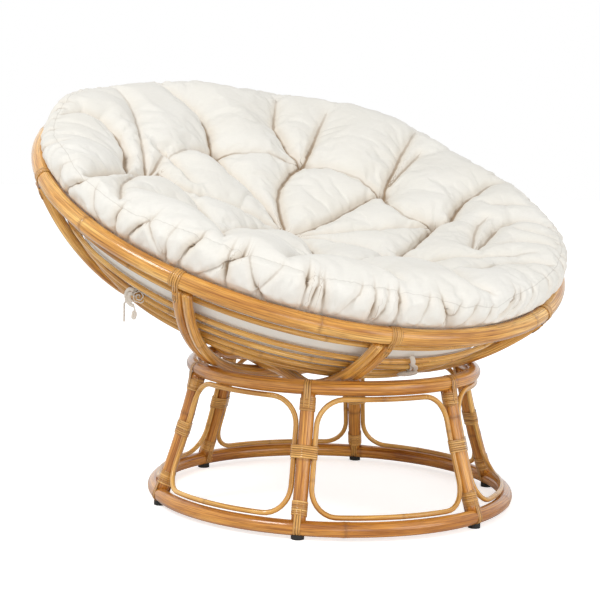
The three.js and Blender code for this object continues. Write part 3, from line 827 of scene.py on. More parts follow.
def wandering_ring(depth, seed, count=240):
    pts = []
    for p in circle_points(cane_ring_radius(depth), -(RIM_DROP + depth), count=count):
        here = sideways(2 * math.pi * len(pts) / count) * RING_WAVES
        lift = RING_WANDER * noise.noise(here + Vector((seed, 0, 0)))
        pts.append(p + Vector((0, 0, lift)) - p.normalized() * RING_INWARD)
    return pts


for i, depth in enumerate(RING_DEPTHS):
    ob = pole(f"cane_ring_{i + 1}", wandering_ring(depth, 3 * i + 1), THIN_CANE, from_ball, TO_BOWL,
              sides=14, step=0.016, gap=0.33, closed=True, seed=80 + i)
    dress(ob, CANE_RATTAN, "bowl", "rattan_cane", f"thin_ring_{i + 1}")

# %% [markdown]
# ## Bindings of the rim
# Where a pair of poles meets the rim, a strip is wound nearly four times round the rim beside
# them, and three more come over the rim and run down the head of the nearest pole, where a small
# nail holds one of their ends. They lie flatter towards that end.

# %% Bindings of the rim
NAIL_R, NAIL_FLAT_SHARE = 0.0011, 0.6
RIM_STRIP_WIDE, RIM_STRIP_PITCH = 0.0038, 0.0042
RIM_WOUND_HEIGHT, RIM_WOUND_TURNS = 0.0142, 3.6
STRIP_FROM, STRIP_SWEEP, STRIP_STEPS = 205, 222, 18
HEAD_STOPS = (0.004, 0.0065, 0.009, 0.0115, 0.014, 0.016, 0.0175)
HEAD_LIFT, HEAD_PRESS = 0.0009, 0.0005


def nail(bm, place, outward):
    """A small domed head that stands half a millimetre proud of the strip."""
    turn = Matrix.Translation(place) @ outward.to_track_quat("Z", "Y").to_matrix().to_4x4()
    made = bmesh.ops.create_uvsphere(bm, u_segments=12, v_segments=8, radius=NAIL_R,
                                     matrix=turn @ Matrix.Diagonal((1, 1, NAIL_FLAT_SHARE, 1)))
    for face in {f for v in made["verts"] for f in v.link_faces}:
        face.material_index = 1


def strap_over(bm, head, offset, seed, nailed):
    """A strip over the rim and down the outer side of the pole whose points begin at the rim."""
    bearing = math.atan2(head[0].x, -head[0].y)
    centre, along = polar(RIM_R, bearing, -RIM_DROP), sideways(bearing)
    out = centre.normalized()
    up = along.cross(out)
    up = up if up.z > 0 else -up
    stops = []
    for i in range(STRIP_STEPS + 1):
        a = math.radians(STRIP_FROM - STRIP_SWEEP * i / STRIP_STEPS)
        facing = out * math.cos(a) + up * math.sin(a)
        stops.append((centre + facing * (RIM_POLE + STRIP_LIFT) + along * offset, facing))
    for far in HEAD_STOPS:
        k = next(i for i, p in enumerate(head) if (p - head[0]).length >= far)
        here, facing = head[k], head[k].normalized()
        side = (head[k + 1] - here).cross(facing).normalized()
        side = side if side.dot(along) > 0 else -side
        reach = math.sqrt(ARCH_POLE**2 - offset**2) + HEAD_LIFT - HEAD_PRESS * far / HEAD_STOPS[-1]
        stops.append((here + facing * reach + side * offset, facing + side * offset / ARCH_POLE))
    lay_strip(bm, stops, RIM_STRIP_WIDE, STRIP_THICK, seed)
    if nailed:
        p, facing = stops[-2]
        nail(bm, p + facing.normalized() * STRIP_THICK / 2, facing)


for i, angle in enumerate(BINDING_ANGLES):
    bm = bmesh.new()
    winding(bm, polar(RIM_R, angle, -RIM_DROP), sideways(angle), Vector((0, 0, 1)),
            round_outline(RIM_POLE + STRIP_LIFT), RIM_WOUND_HEIGHT, RIM_WOUND_TURNS, 90 + i)
    for k in (-1, 0, 1):
        strap_over(bm, HEADS[i], k * RIM_STRIP_PITCH, 2.0 * i + k, k == i % 3 - 1)
    binding = finish_bmesh(f"rim_winding_{i + 1}", bm, TO_BOWL)
    dress(binding, STRIP_RATTAN, "bowl", "binding_strand", f"rim_binding_{i + 1}")
    binding.data.materials.append(NAIL_STEEL)
print("bindings wound on the rim:", len(BINDING_ANGLES))

# %% [markdown]
# ## Cushion, first shape
# The cushion is a round bag of cotton, filled with loose fibre. Nine stitches pull it together,
# one in the middle and eight in a ring, and a sewn band makes its border. Its plain form is a
# lathe shape: an outline is spun round the middle and its ends are merged. The outline is the
# hull over the puffs, and the stitches and creases are pushed into it in the next step. The crest
# of a soft cushion sags unevenly, and a list of bearings in degrees says by how many millimetres.

# %% Cushion outline
CREST_R, CREST_H, DISH = 0.485, 0.078, 0.036
CREST_DROPS = [(20, 0), (50, 2), (70, 6), (84, 8), (92, 12), (99, 15), (106, 13), (113, 5), (122, -1),
               (136, 3), (154, 21), (166, 22), (178, 18), (190, 22), (202, 25), (215, 12), (224, 5),
               (231, 14), (238, 24), (246, 23), (255, 9), (262, 1), (300, -3), (330, -3)]
ROLL_R, ROLL_H, ROLL_SIZE = 0.500, 0.045, 0.036
UNDER_IN, UNDER_OUT = BALL_IN - 0.014, BALL_CANES - 0.0082
ROLL_OUTLINE = [(0.503, -0.016), (0.512, -0.008), (0.5168, 0.0), (0.5188, 0.008), (0.5226, 0.0146),
                (0.5288, 0.0192), (0.5340, 0.0250), (0.5365, 0.034), (0.5375, 0.045), (0.5365, 0.056),
                (0.533, 0.065), (0.526, 0.073), (0.516, 0.0775), (0.502, 0.079)]


def under_height(r, ball):
    return RIM_DROP - math.sqrt(ball * ball - r * r)


def seat_height(r):
    c = math.cos(math.pi / 2 * min(r / CREST_R, 1.0))
    return CREST_H - (CREST_H + DISH) * (c + c * c) / 2


def cushion_outline():
    pts = [(r, under_height(r, UNDER_IN)) for r in np.linspace(0.0, 0.30, 16)]
    pts += [(r, under_height(r, UNDER_OUT)) for r in np.linspace(0.33, 0.489, 9)]
    return pts + ROLL_OUTLINE + [(CREST_R * s, seat_height(CREST_R * s)) for s in np.linspace(1.0, 0.0, 30)]


OUTLINE = np.array(cushion_outline())
print("outline of", len(OUTLINE), "points, greatest radius", OUTLINE[:, 0].max())

# %% [markdown]
# ## Stitches and creases
# No two puffs of a hand-filled cushion are alike, so the stitches stand a little off their even
# spacing, and each crease is a line of its own. A crease is a list of stops, each with its
# distance from the middle, its bearing in degrees and its depth in millimetres. Across the line
# the depth falls off as a cusp, because two swollen puffs meet in a narrow valley, not a groove.

# %% Stitches and creases
STITCHES = [(20, 266), (275, 190), (270, 145), (272, 104), (296, 71), (275, 18), (275, 335), (275, 290),
            (322, 247)]
CREASES = [
    [(20, 266, 30), (88, 193, 24), (154, 194, 22), (218, 195, 24), (275, 190, 32)],
    [(275, 190, 32), (300, 189, 26), (332, 186, 24), (376, 184, 22), (409, 184, 20), (448, 186, 16),
     (500, 188, 9)],
    [(20, 266, 30), (70, 175, 24), (119, 167, 22), (160, 161, 22), (232, 151, 26), (270, 145, 32)],
    [(270, 145, 32), (294, 152, 26), (334, 155, 24), (377, 157, 21), (431, 156, 15), (490, 155, 8)],
    [(270, 145, 32), (303, 144, 26), (335, 143, 23), (399, 142, 17), (450, 141, 8)],
    [(20, 266, 30), (40, 100, 26), (103, 103, 26), (192, 106, 27), (240, 106, 28), (272, 104, 32)],
    [(272, 104, 32), (304, 108, 26), (335, 110, 24), (406, 114, 19), (470, 116, 12), (510, 117, 6)],
    [(304, 107, 22), (335, 108, 20), (375, 109, 17), (430, 110, 12)],
    [(296, 71, 32), (327, 71, 28), (344, 76, 27), (374, 81, 25), (404, 84, 22), (432, 85, 18),
     (470, 87, 13), (515, 87, 6)],
    [(296, 71, 32), (251, 54, 24), (235, 42, 22), (225, 30, 22), (275, 18, 30)],
    [(296, 71, 30), (240, 80, 12), (235, 92, 12), (272, 104, 30)],
    [(272, 104, 30), (258, 118, 9), (256, 134, 9), (270, 145, 30)],
    [(270, 145, 30), (250, 160, 8), (252, 178, 8), (275, 190, 30)],
    [(275, 190, 30), (280, 210, 9), (300, 228, 10), (322, 247, 30)],
    [(322, 247, 30), (298, 241, 20), (269, 249, 22), (255, 268, 22), (275, 290, 30)],
    [(322, 247, 32), (373, 252, 25), (368, 237, 24), (397, 229, 22), (441, 227, 19), (476, 228, 14),
     (512, 233, 8)],
    [(322, 247, 30), (335, 233, 16), (370, 220, 13), (404, 213, 11), (451, 207, 8), (490, 205, 5)],
    [(322, 247, 30), (381, 256, 26), (449, 265, 27), (500, 270, 26), (530, 271, 18)],
    [(322, 247, 30), (388, 263, 15), (448, 273, 13), (500, 281, 14), (529, 284, 12)],
    [(306, 223, 24), (270, 226, 20), (232, 238, 12)],
    [(20, 266, 30), (120, 246, 16), (220, 250, 18), (322, 247, 30)],
    [(20, 266, 30), (130, 288, 18), (210, 291, 20), (275, 290, 30)],
    [(20, 266, 30), (130, 338, 18), (210, 336, 20), (275, 335, 30)],
    [(20, 266, 30), (130, 22, 18), (210, 19, 20), (275, 18, 30)],
    [(20, 266, 30), (110, 60, 12), (200, 66, 14), (296, 71, 30)],
    [(275, 290, 30), (262, 312, 16), (275, 335, 30)],
    [(275, 335, 30), (262, 356, 16), (275, 18, 30)],
    [(275, 18, 30), (330, 12, 22), (400, 9, 10), (470, 4, 4)],
    [(275, 18, 30), (335, 27, 18), (400, 33, 9), (470, 38, 4)],
    [(275, 335, 30), (335, 340, 22), (400, 343, 9), (470, 345, 4)],
    [(275, 335, 30), (340, 327, 20), (410, 322, 8), (470, 320, 3)],
    [(275, 290, 30), (340, 297, 22), (410, 303, 9), (475, 306, 4)],
    [(275, 290, 30), (345, 283, 20), (420, 280, 9), (480, 279, 4)],
    [(355, 41, 20), (365, 46, 20), (397, 59, 19), (444, 64, 16), (488, 62, 12), (515, 58, 7)],
    [(351, 44, 18), (351, 54, 15), (365, 62, 12), (384, 65, 8)],
    [(412, 15, 8), (429, 27, 12), (469, 33, 13), (515, 36, 8)],
    [(397, 43, 6), (434, 47, 11), (475, 47, 11), (500, 47, 6)],
    [(450, 2, 5), (500, 5, 9), (524, 7, 8)],
    [(440, 56, 7), (480, 54, 9), (515, 52, 6)],
    [(420, 74, 7), (465, 73, 9), (510, 71, 6)],
]
CREASE_REACH, CREASE_HELD, CREASE_FULL_SHADE = 0.030, 0.024, 0.026
HELD_BY_CREASE, HELD_BY_STITCH = 0.006, 0.010
STITCH_DEPTH, STITCH_REACH = 0.037, 0.085
RAYS, RAY_DEPTH, RAY_PLACE, RAY_REACH = 11, 0.0035, 0.045, 0.028


def bell(x, width):
    """1 where x is zero, fading away on both sides."""
    return np.exp(-(x / width) ** 2)


def flat_points(stops):
    a = np.radians([stop[1] for stop in stops])
    r = np.array([stop[0] for stop in stops]) / 1000
    return np.stack([r * np.sin(a), -r * np.cos(a)], axis=1)


def line_distance(flat, stops):
    """How far each point is to the left or right of a crease, and how deep the crease is there."""
    pts, deep = flat_points(stops), np.array([stop[2] for stop in stops]) / 1000
    best, depth = np.full(len(flat), 9.0), np.zeros(len(flat))
    for a, b, da, db in zip(pts, pts[1:], deep, deep[1:]):
        ab, ap = b - a, flat - a
        t = np.clip((ap @ ab) / (ab @ ab), 0, 1)
        d = np.linalg.norm(ap - t[:, None] * ab, axis=1)
        side = np.where(ab[0] * ap[:, 1] - ab[1] * ap[:, 0] < 0, -1.0, 1.0)
        nearer = d < np.abs(best)
        best[nearer] = (d * side)[nearer]
        depth[nearer] = (da + (db - da) * t)[nearer]
    return best, depth


def stitch_distance(flat, stitch):
    """How far each point is from a stitch, and in which direction."""
    x, y = (flat - flat_points([stitch])).T
    return np.hypot(x, y), np.arctan2(y, x)


def crease_dips(flat):
    """The dip of the seat at each point, and how close it is to the bottom of a crease."""
    dip, hold = np.zeros(len(flat)), np.zeros(len(flat))
    for stops in CREASES:
        d, depth = line_distance(flat, stops)
        dip = np.maximum(dip, depth * np.clip(1 - np.abs(d) / (CREASE_REACH + depth), 0, 1) ** 2)
        hold = np.maximum(hold, np.clip(depth / CREASE_HELD, 0, 1) * bell(d, HELD_BY_CREASE))
    for stitch in STITCHES:
        d, around = stitch_distance(flat, stitch)
        dip = np.maximum(dip, STITCH_DEPTH * np.clip(1 - d / STITCH_REACH, 0, 1) ** 1.7)
        rays = np.cos(RAYS * around + 3 * np.sin(2 * around + stitch[0])) ** 2
        dip += RAY_DEPTH * rays * bell(d - RAY_PLACE, RAY_REACH)
        hold = np.maximum(hold, bell(d, HELD_BY_STITCH))
    return dip, hold


def crease_lines(flat):
    """The signed distance to the nearest crease, and how strong its painted shade is."""
    line, share = np.full(len(flat), 1.0), np.zeros(len(flat))
    for stops in CREASES:
        d, depth = line_distance(flat, stops)
        nearer = np.abs(d) < np.abs(line)
        line[nearer] = d[nearer]
        share[nearer] = np.clip(depth / CREASE_FULL_SHADE, 0, 1)[nearer]
    return line, share


print(len(CREASES), "creases and", len(STITCHES), "stitches")

# %% [markdown]
# ## Seam and gathers of the border
# A sewn seam joins the top panel to the border band. It wanders up and down by some centimetres,
# as it does when fibre is pushed in by hand: its list has bearings and heights round the border's
# roll, both in degrees. The band is gathered where it was eased into that seam, so slots run down
# it at uneven distances, some deep and dark with a painted shade, with flat cloth between them.
# Each gather has its bearing, its depth and the height where it is deepest in millimetres, and how
# far it leans.

# %% Seam and gathers
SEAM_STOPS = [(-130, 60), (-110, 62), (-100, 62), (-93, 48), (-88, 42), (-81, 40), (-75.6, 38),
              (-71, 37), (-66.7, 58), (-57, 72), (-52, 74), (-40, 75), (-35, 62), (-27, 70), (-19, 69),
              (-16, 62), (-9, 50), (-2.4, 24), (1, 26), (6, 16), (9, 30), (12.7, 42), (25.8, 57),
              (40, 60), (70, 50), (100, 62), (130, 56), (165, 66), (200, 54), (230, 60)]
NEAR_GATHERS = [(-96, 5, 50, 1), (-89.3, 14, 66, 3), (-82.5, 7, 50, -2), (-75.3, 11, 55, 0),
                (-69.6, 14, 58, 2), (-66.5, 6, 70, -3), (-62.8, 9, 22, 0), (-58.4, 16, 72, 1.2),
                (-50.9, 15, 88, 3.5), (-50.4, 13, 55, -0.4), (-45.4, 13, 28, -2), (-42, 5, 60, 2),
                (-35.1, 16, 86, 0), (-33.3, 12, 60, 0.3), (-31.7, 11, 60, -0.5), (-26, 5, 75, 2),
                (-21.9, 12, 50, 0), (-19.7, 8, 45, 0.8), (-16.8, 11, 70, 0), (-11, 5, 70, 1),
                (-6.6, 13, 60, -1.5), (-4, 8, 50, 2), (0.4, 9, 45, 1.5), (5, 6, 50, 1),
                (10.5, 13, 55, 4), (13, 8, 60, 3), (18, 6, 60, 3), (26, 8, 60, 2), (33, 6, 60, 1)]
FAR_FROM, FAR_TO = 39.0, 262
BORDER_R, SLOT_NARROW, SLOT_WIDE, DEEPEST_SHARE = 0.53, 0.0032, 0.010, 0.85


def all_gathers():
    """The gathers that the photograph shows, and random ones round the far side."""
    rng = random.Random(11)
    found = list(NEAR_GATHERS)
    bearing = FAR_FROM
    while bearing < FAR_TO:
        found.append((bearing, rng.uniform(4, 12), rng.uniform(25, 80), rng.uniform(-2.5, 2.5)))
        bearing += rng.uniform(3.5, 9.0)
    return found


GATHERS = all_gathers()


def round_table(stops, angle):
    """Reads a list of (bearing, value) at each angle, all the way round."""
    bearings, values = np.array(sorted((a % 360, v) for a, v in stops), dtype=float).T
    return np.interp(np.degrees(angle) % 360, bearings, values, period=360)


def seam_distance(angle, radius, height):
    """How far each point is above the seam, measured round the border's roll."""
    roll = np.degrees(np.arctan2(height - ROLL_H, radius - ROLL_R))
    return np.radians(roll - round_table(SEAM_STOPS, angle)) * ROLL_SIZE


def gather_slots(angle, height, above):
    """How deep the gathers are, and the signed distance and painted-shade strength of the nearest one."""
    total, line, share = np.zeros(len(angle)), np.full(len(angle), 1.0), np.zeros(len(angle))
    for at, depth, deepest, lean in GATHERS:
        middle = math.radians(at) + math.radians(lean) * (height - 0.055) / 0.03
        d = ((angle - middle + math.pi) % (2 * math.pi) - math.pi) * BORDER_R
        fade = np.exp(-np.clip(above, 0, 1) / (0.003 + 0.9 * depth / 1000))
        slot = 0.35 + 0.65 * bell(height - deepest / 1000 * DEEPEST_SHARE, 0.020)
        slot *= np.clip((height - 0.006) / 0.014, 0, 1) * fade
        profile = 0.62 * bell(d, SLOT_NARROW) + 0.38 * bell(d, SLOT_WIDE)
        total += depth / 1000 * slot * (profile - 0.16 * bell(np.abs(d) - 0.013, 0.006))
        nearer = (np.abs(d) < np.abs(line)) & (slot > 0.02)
        line[nearer] = d[nearer]
        share[nearer] = (slot * min(1.0, depth / 13))[nearer]
    return total, line, share


print(len(GATHERS), "gathers in the border")

# %% [markdown]
# ## Cushion, spun
# The outline is spun, and the shape is remeshed into the even small squares that cloth needs. The
# places on this uncreased shape travel with the mesh as an attribute. After the simulation they
# tell where the narrow parts belong.

# %% Spin the cushion
SPIN_STEPS, SQUARE = 256, 0.0072


def apply_modifiers(ob):
    deps = bpy.context.evaluated_depsgraph_get()
    mesh = bpy.data.meshes.new_from_object(ob.evaluated_get(deps))
    ob.modifiers.clear()
    ob.data = mesh


def read_vectors(values, key="co"):
    pts = np.empty(len(values) * 3, dtype=np.float32)
    values.foreach_get(key, pts)
    return pts.reshape(-1, 3).astype(float)


def write_points(ob, pts):
    ob.data.vertices.foreach_set("co", pts.astype(np.float32).ravel())
    ob.data.update()


def spun_cushion():
    bm = bmesh.new()
    verts = [bm.verts.new((0, -r, h - RIM_DROP)) for r, h in OUTLINE]
    edges = [bm.edges.new(pair) for pair in zip(verts, verts[1:])]
    bmesh.ops.spin(bm, geom=verts + edges, cent=(0, 0, 0), axis=(0, 0, 1), angle=2 * math.pi,
                   steps=SPIN_STEPS, use_merge=True, use_duplicate=False)
    bmesh.ops.remove_doubles(bm, verts=bm.verts[:], dist=0.0002)
    bmesh.ops.recalc_face_normals(bm, faces=bm.faces[:])
    ob = new_object("tufted_cushion", bm)
    remesh = ob.modifiers.new("even", "REMESH")
    remesh.mode = "VOXEL"
    remesh.voxel_size = SQUARE
    apply_modifiers(ob)
    rest = ob.data.attributes.new("rest", "FLOAT_VECTOR", "POINT")
    rest.data.foreach_set("vector", read_vectors(ob.data.vertices).astype(np.float32).ravel())
    return ob


cushion = spun_cushion()
print("cushion remeshed to", len(cushion.data.polygons), "faces")

# %% [markdown]
# ## Cushion, blown up as cloth
# The stitches and creases are pressed in, and then the cushion is simulated as cloth. Pressure
# from inside swells the puffs, while the stitches, creases, seam and underside are held, and the
# cloth has a little more fabric than it needs, so that it wrinkles. How far a point may move is
# capped, so that the cushion keeps its measured size.

# %% Dent the cushion and blow it up
LEVEL_RADII = [0, 0.30, 0.49, 0.51]
TOP_LEVELS, HELD_LEVELS = [-0.16, -0.10, 0.0, 0.03], [-0.16, -0.10, 0.0, 0.022]
CREASE_HOLD, SEAM_HOLD, SEAM_HOLD_REACH, LEAST_HOLD = 0.9, 0.35, 0.006, 0.05
CLOTH_FRAMES, CLOTH_CAP = 16, 0.020
CLOTH = dict(quality=5, mass=0.3, tension_stiffness=12, compression_stiffness=12, shear_stiffness=5,
             bending_stiffness=0.15, shrink_min=-0.06, use_pressure=True, uniform_pressure_force=3.5,
             vertex_group_mass="stitched", pin_stiffness=1.0)


def smoothstep(a, b, x):
    t = np.clip((x - a) / (b - a), 0, 1)
    return t * t * (3 - 2 * t)


def rest_fields(rest):
    """The places seen from above, and each point's radius, angle and height over the rim."""
    x, y, z = rest.T
    return rest[:, :2], np.hypot(x, y), np.arctan2(x, -y), z + RIM_DROP


def share_on_top(radius, height):
    level = np.interp(radius, LEVEL_RADII, TOP_LEVELS)
    return smoothstep(0.0, 0.03, height - level) * (1 - smoothstep(0.500, 0.530, radius))


def dent_cushion(ob):
    """Presses the stitches and creases in and marks what the cloth holds on to."""
    rest = read_vectors(ob.data.vertices)
    flat, radius, angle, height = rest_fields(rest)
    dip, hold = crease_dips(flat)
    top = share_on_top(radius, height)
    low = height < np.interp(radius, LEVEL_RADII, HELD_LEVELS)
    weight = np.where(low, 1.0, hold * top * CREASE_HOLD)
    on_seam = (np.abs(seam_distance(angle, radius, height)) < SEAM_HOLD_REACH) & (radius > 0.49)
    weight = np.where(on_seam, np.maximum(weight, SEAM_HOLD), weight)
    lower = round_table(CREST_DROPS, angle) / 1000
    rest[:, 2] -= dip * top + lower * smoothstep(0.22, 0.44, radius) * smoothstep(0.0, 0.07, height)
    write_points(ob, rest)
    group = ob.vertex_groups.new(name="stitched")
    for i in np.nonzero(weight > LEAST_HOLD)[0]:
        group.add([int(i)], float(weight[i]), "REPLACE")


def blow_up(ob):
    start = read_vectors(ob.data.vertices)
    cloth = ob.modifiers.new("cloth", "CLOTH")
    for key, value in CLOTH.items():
        setattr(cloth.settings, key, value)
    cloth.settings.effector_weights.gravity = 0.0
    cloth.collision_settings.use_collision = False
    scene = bpy.context.scene
    for f in range(1, CLOTH_FRAMES + 1):
        scene.frame_set(f)
    apply_modifiers(ob)
    move = read_vectors(ob.data.vertices) - start
    size = np.linalg.norm(move, axis=1)
    scale = np.where(size > CLOTH_CAP, CLOTH_CAP / np.maximum(size, 1e-9), 1.0)
    write_points(ob, start + move * scale[:, None])
    scene.frame_set(1)
    print("cloth moved at most", round(float(size.max()), 4), "and on average", round(float(size.mean()), 4))


dent_cushion(cushion)
print("points that the cloth holds:", sum(bool(v.groups) for v in cushion.data.vertices))
blow_up(cushion)

# %% [markdown]
# ## Cushion, sewn details
# Slots, the seam, its small puckers and the finest wrinkles are too narrow for the cloth's
# squares. They are sunk into a finer mesh afterwards, and attributes write down where they are,
# for the cotton to take a painted shade there.

# %% Sew the details
PUCKER_WAVES, WRINKLES = 14, ((23.0, 0.0011, 3.0), (44.0, 0.0006, 9.0))
WRINKLE_WIDTH, ON_BORDER, BORDER_STRETCH = 0.13, 0.47, 0.35
VALLEYS = ((0.0042, 0.0035), (0.003, 0.010))
STITCH_SINK, STITCH_SINK_REACH, STITCH_SHADE_REACH = 0.008, 0.009, 0.006
SEAM_SINK, SEAM_SINK_REACH, PUCKER_SINK, PUCKER_REACH = 0.0015, 0.003, 0.0011, 0.020
NEAR_FOLD, FOLD_SHADE_REACH, SOFTEN = 0.010, 0.012, 0.15


def write_attribute(ob, name, values):
    ob.data.attributes.new(name, "FLOAT", "POINT").data.foreach_set("value", values.astype(np.float32))


def puckers(angle, above):
    """Small uneven waves of cloth that a sewing thread pulls together."""
    rng = random.Random(5)
    wave = np.zeros(len(angle))
    for _ in range(PUCKER_WAVES):
        count = rng.randint(170, 430)
        lean = rng.uniform(-14, 14)
        wave += np.sin(count * angle + lean * above * 8 + rng.uniform(0, 6.3)) * rng.uniform(0.4, 1.0)
    swing = 0.6 + 0.4 * np.sin(5 * angle + 1) * np.sin(17 * angle) + 0.3 * np.sin(41 * angle)
    return wave / 4 * swing


def rumples(flat, radius, angle, height):
    """Fine wandering wrinkles of loose cloth, drawn out across the border where it is gathered."""
    depth = np.zeros(len(flat))
    for count, size, seed in WRINKLES:
        for i in np.nonzero(height >= -0.05)[0]:
            here = Vector((flat[i, 0] * count, flat[i, 1] * count, seed))
            if radius[i] > ON_BORDER:
                here = Vector((angle[i] * ROLL_R * count, height[i] * count * BORDER_STRETCH, seed + 0.7))
            fade = min(1.0, max(0.0, 0.5 + 1.6 * noise.noise(here * 0.23)))
            depth[i] += size * fade * max(0.0, 1 - abs(noise.noise(here)) / WRINKLE_WIDTH) ** 1.5
    return depth


def sew_details(ob):
    """Sinks all that is narrower than the cloth's squares, and writes where it is and where the cotton takes
    painted shade.
    """
    flat, radius, angle, height = rest_fields(read_vectors(ob.data.attributes["rest"].data, "vector"))
    top = share_on_top(radius, height)
    border = smoothstep(0.44, 0.50, radius) * smoothstep(0.0, 0.016, height)
    above = seam_distance(angle, radius, height)
    line, share = crease_lines(flat)
    slot, gather, gather_share = gather_slots(angle, height, above)
    share, gather_share = share * top, gather_share * border
    stitch = np.min([stitch_distance(flat, stitch)[0] for stitch in STITCHES], axis=0)
    inward = share * sum(sink * bell(line, reach) for sink, reach in VALLEYS)
    inward += top * STITCH_SINK * bell(stitch, STITCH_SINK_REACH)
    inward += slot * border + rumples(flat, radius, angle, height)
    inward += border * SEAM_SINK * bell(above, SEAM_SINK_REACH)
    inward += border * PUCKER_SINK * puckers(angle, above) * bell(above, PUCKER_REACH)
    normals = read_vectors(ob.data.vertex_normals, "vector")
    write_points(ob, read_vectors(ob.data.vertices) - normals * inward[:, None])
    # The painted shade of folds and gathers, crease lines, stitches and the seam is written into attributes
    # here.
    on_gather = gather_share * bell(gather, NEAR_FOLD) > share * bell(line, NEAR_FOLD)
    signed = np.where(on_gather, gather, line)
    write_attribute(ob, "crease", signed)
    write_attribute(ob, "fold_shade", np.where(on_gather, gather_share, share) * bell(signed, FOLD_SHADE_REACH))
    write_attribute(ob, "stitch", top * bell(stitch, STITCH_SHADE_REACH))
    write_attribute(ob, "seam", above)
    write_attribute(ob, "border", border)
    ob.data.attributes.remove(ob.data.attributes["rest"])


def soften(ob):
    """Takes the sharpness off the finest details, and carries the cushion into the tilted bowl."""
    bm = bmesh.new()
    bm.from_mesh(ob.data)
    every_way = dict(use_axis_x=True, use_axis_y=True, use_axis_z=True)
    bmesh.ops.smooth_vert(bm, verts=bm.verts[:], factor=SOFTEN, **every_way)
    bmesh.ops.transform(bm, matrix=TO_BOWL, verts=bm.verts[:])
    bm.to_mesh(ob.data)
    bm.free()
    for face in ob.data.polygons:
        face.use_smooth = True


cushion.vertex_groups.clear()
cushion.modifiers.new("fine", "SUBSURF").levels = 1
apply_modifiers(cushion)
sew_details(cushion)
soften(cushion)
dress(cushion, COTTON, "bowl", "cushion_cloth", "cushion")
print("cushion has", len(cushion.data.polygons), "faces")

# %% [markdown]
# ## Ties
# A narrow cotton tape goes round the thin canes and is tied on their outer side. The left one is
# wound into a rosette with two loops, and the right one is twisted into a long lumpy knot that
# lies flat on the canes, clear of the base ring. Both are tapes led through a few points and
# smoothed. The rosette lies in the plane that faces the camera, and its places are millimetres
# to the right of its middle and above it.

# %% Ties
BOW_ANGLE = math.radians(-74.5)
BOW_OUT, BOW_RIGHT, BOW_DOWN = 0.012, 0.0046, 0.0070
ROSE_STEPS, ROSE_TURNS, ROSE_IN, ROSE_GROWS, ROSE_RIGHT = 69, 2.35, 0.0022, 0.0122, 0.0015
LOOPS = ((0.0034, [(-8, 11), (-16, 14), (-23, 8), (-23, -4), (-17, -13), (-9, -17)]),
         (0.0034, [(-10, 5), (-17, 5), (-17, -4), (-12, -10)]),
         (0.0014, [(-9, -15), (-6.5, -24), (-5.6, -31)]),
         (0.0026, [(-5.8, -28), (-5, -34), (-7.4, -40), (-10.4, -38), (-9.4, -31), (-7.4, -26)]))
DOWN_STOPS = ((-6.4, 0.071, -0.002), (-5.6, 0.077, 0.0050), (-4.6, 0.088, 0.0075), (-2.6, 0.099, 0.0070),
              (-0.9, 0.112, 0.0078), (-0.2, 0.121, 0.0085))
KNOT_ENDS = ((0.55, 0.120, 0.0108), (-4.7, 0.1235, 0.0108))
KNOT_STEPS, KNOT_FAT, KNOT_WINDS = 28, 0.0034, 0.66
TAPE_STEP, LOOP_R, LOOP_WIDE, LOOP_THICK, LOOP_STEPS = 0.0012, 0.0068, 0.0034, 0.0009, 14


def smooth_path(points, per=8):
    pts = [Vector(p) for p in points]
    pts = [2 * pts[0] - pts[1]] + pts + [2 * pts[-1] - pts[-2]]
    out = []
    for a, b, c, d in zip(pts, pts[1:], pts[2:], pts[3:]):
        for i in range(per):
            t = i / per
            out.append(0.5 * ((2 * b) + (c - a) * t + (2 * a - 5 * b + 4 * c - d) * t * t
                              + (3 * b - a - 3 * c + d) * t**3))
    return out + [pts[-2]]


def tape(bm, points, facing, wide, thick, twist=0.0, bulk=0.0, edge=False):
    route = Route(smooth_path(points))
    count = max(12, int(route.length / TAPE_STEP))
    stations = []
    for i in range(count + 1):
        s = route.length * i / count
        along = route.along(s).normalized()
        out = (facing - along * facing.dot(along)).normalized()
        out = Matrix.Rotation(twist * s / route.length + (math.pi / 2 if edge else 0), 3, along) @ out
        lump = 1 + bulk * math.sin(s * 900) * math.sin(s * 410 + 1)
        stations.append((route.at(s), along, out, wide * lump, thick * (2 - lump), s, 0))
    sweep_into(bm, stations, 10)


def loop_round_cane(bm, angle, depth):
    centre = knot_place(angle, depth)
    outward = centre.normalized()
    down = sideways(angle).cross(outward)
    turns = [math.radians(-40 + 260 * i / LOOP_STEPS) for i in range(LOOP_STEPS + 1)]
    pts = [centre + (outward * math.sin(a) + down * math.cos(a)) * LOOP_R for a in turns]
    tape(bm, pts, outward, LOOP_WIDE, LOOP_THICK)


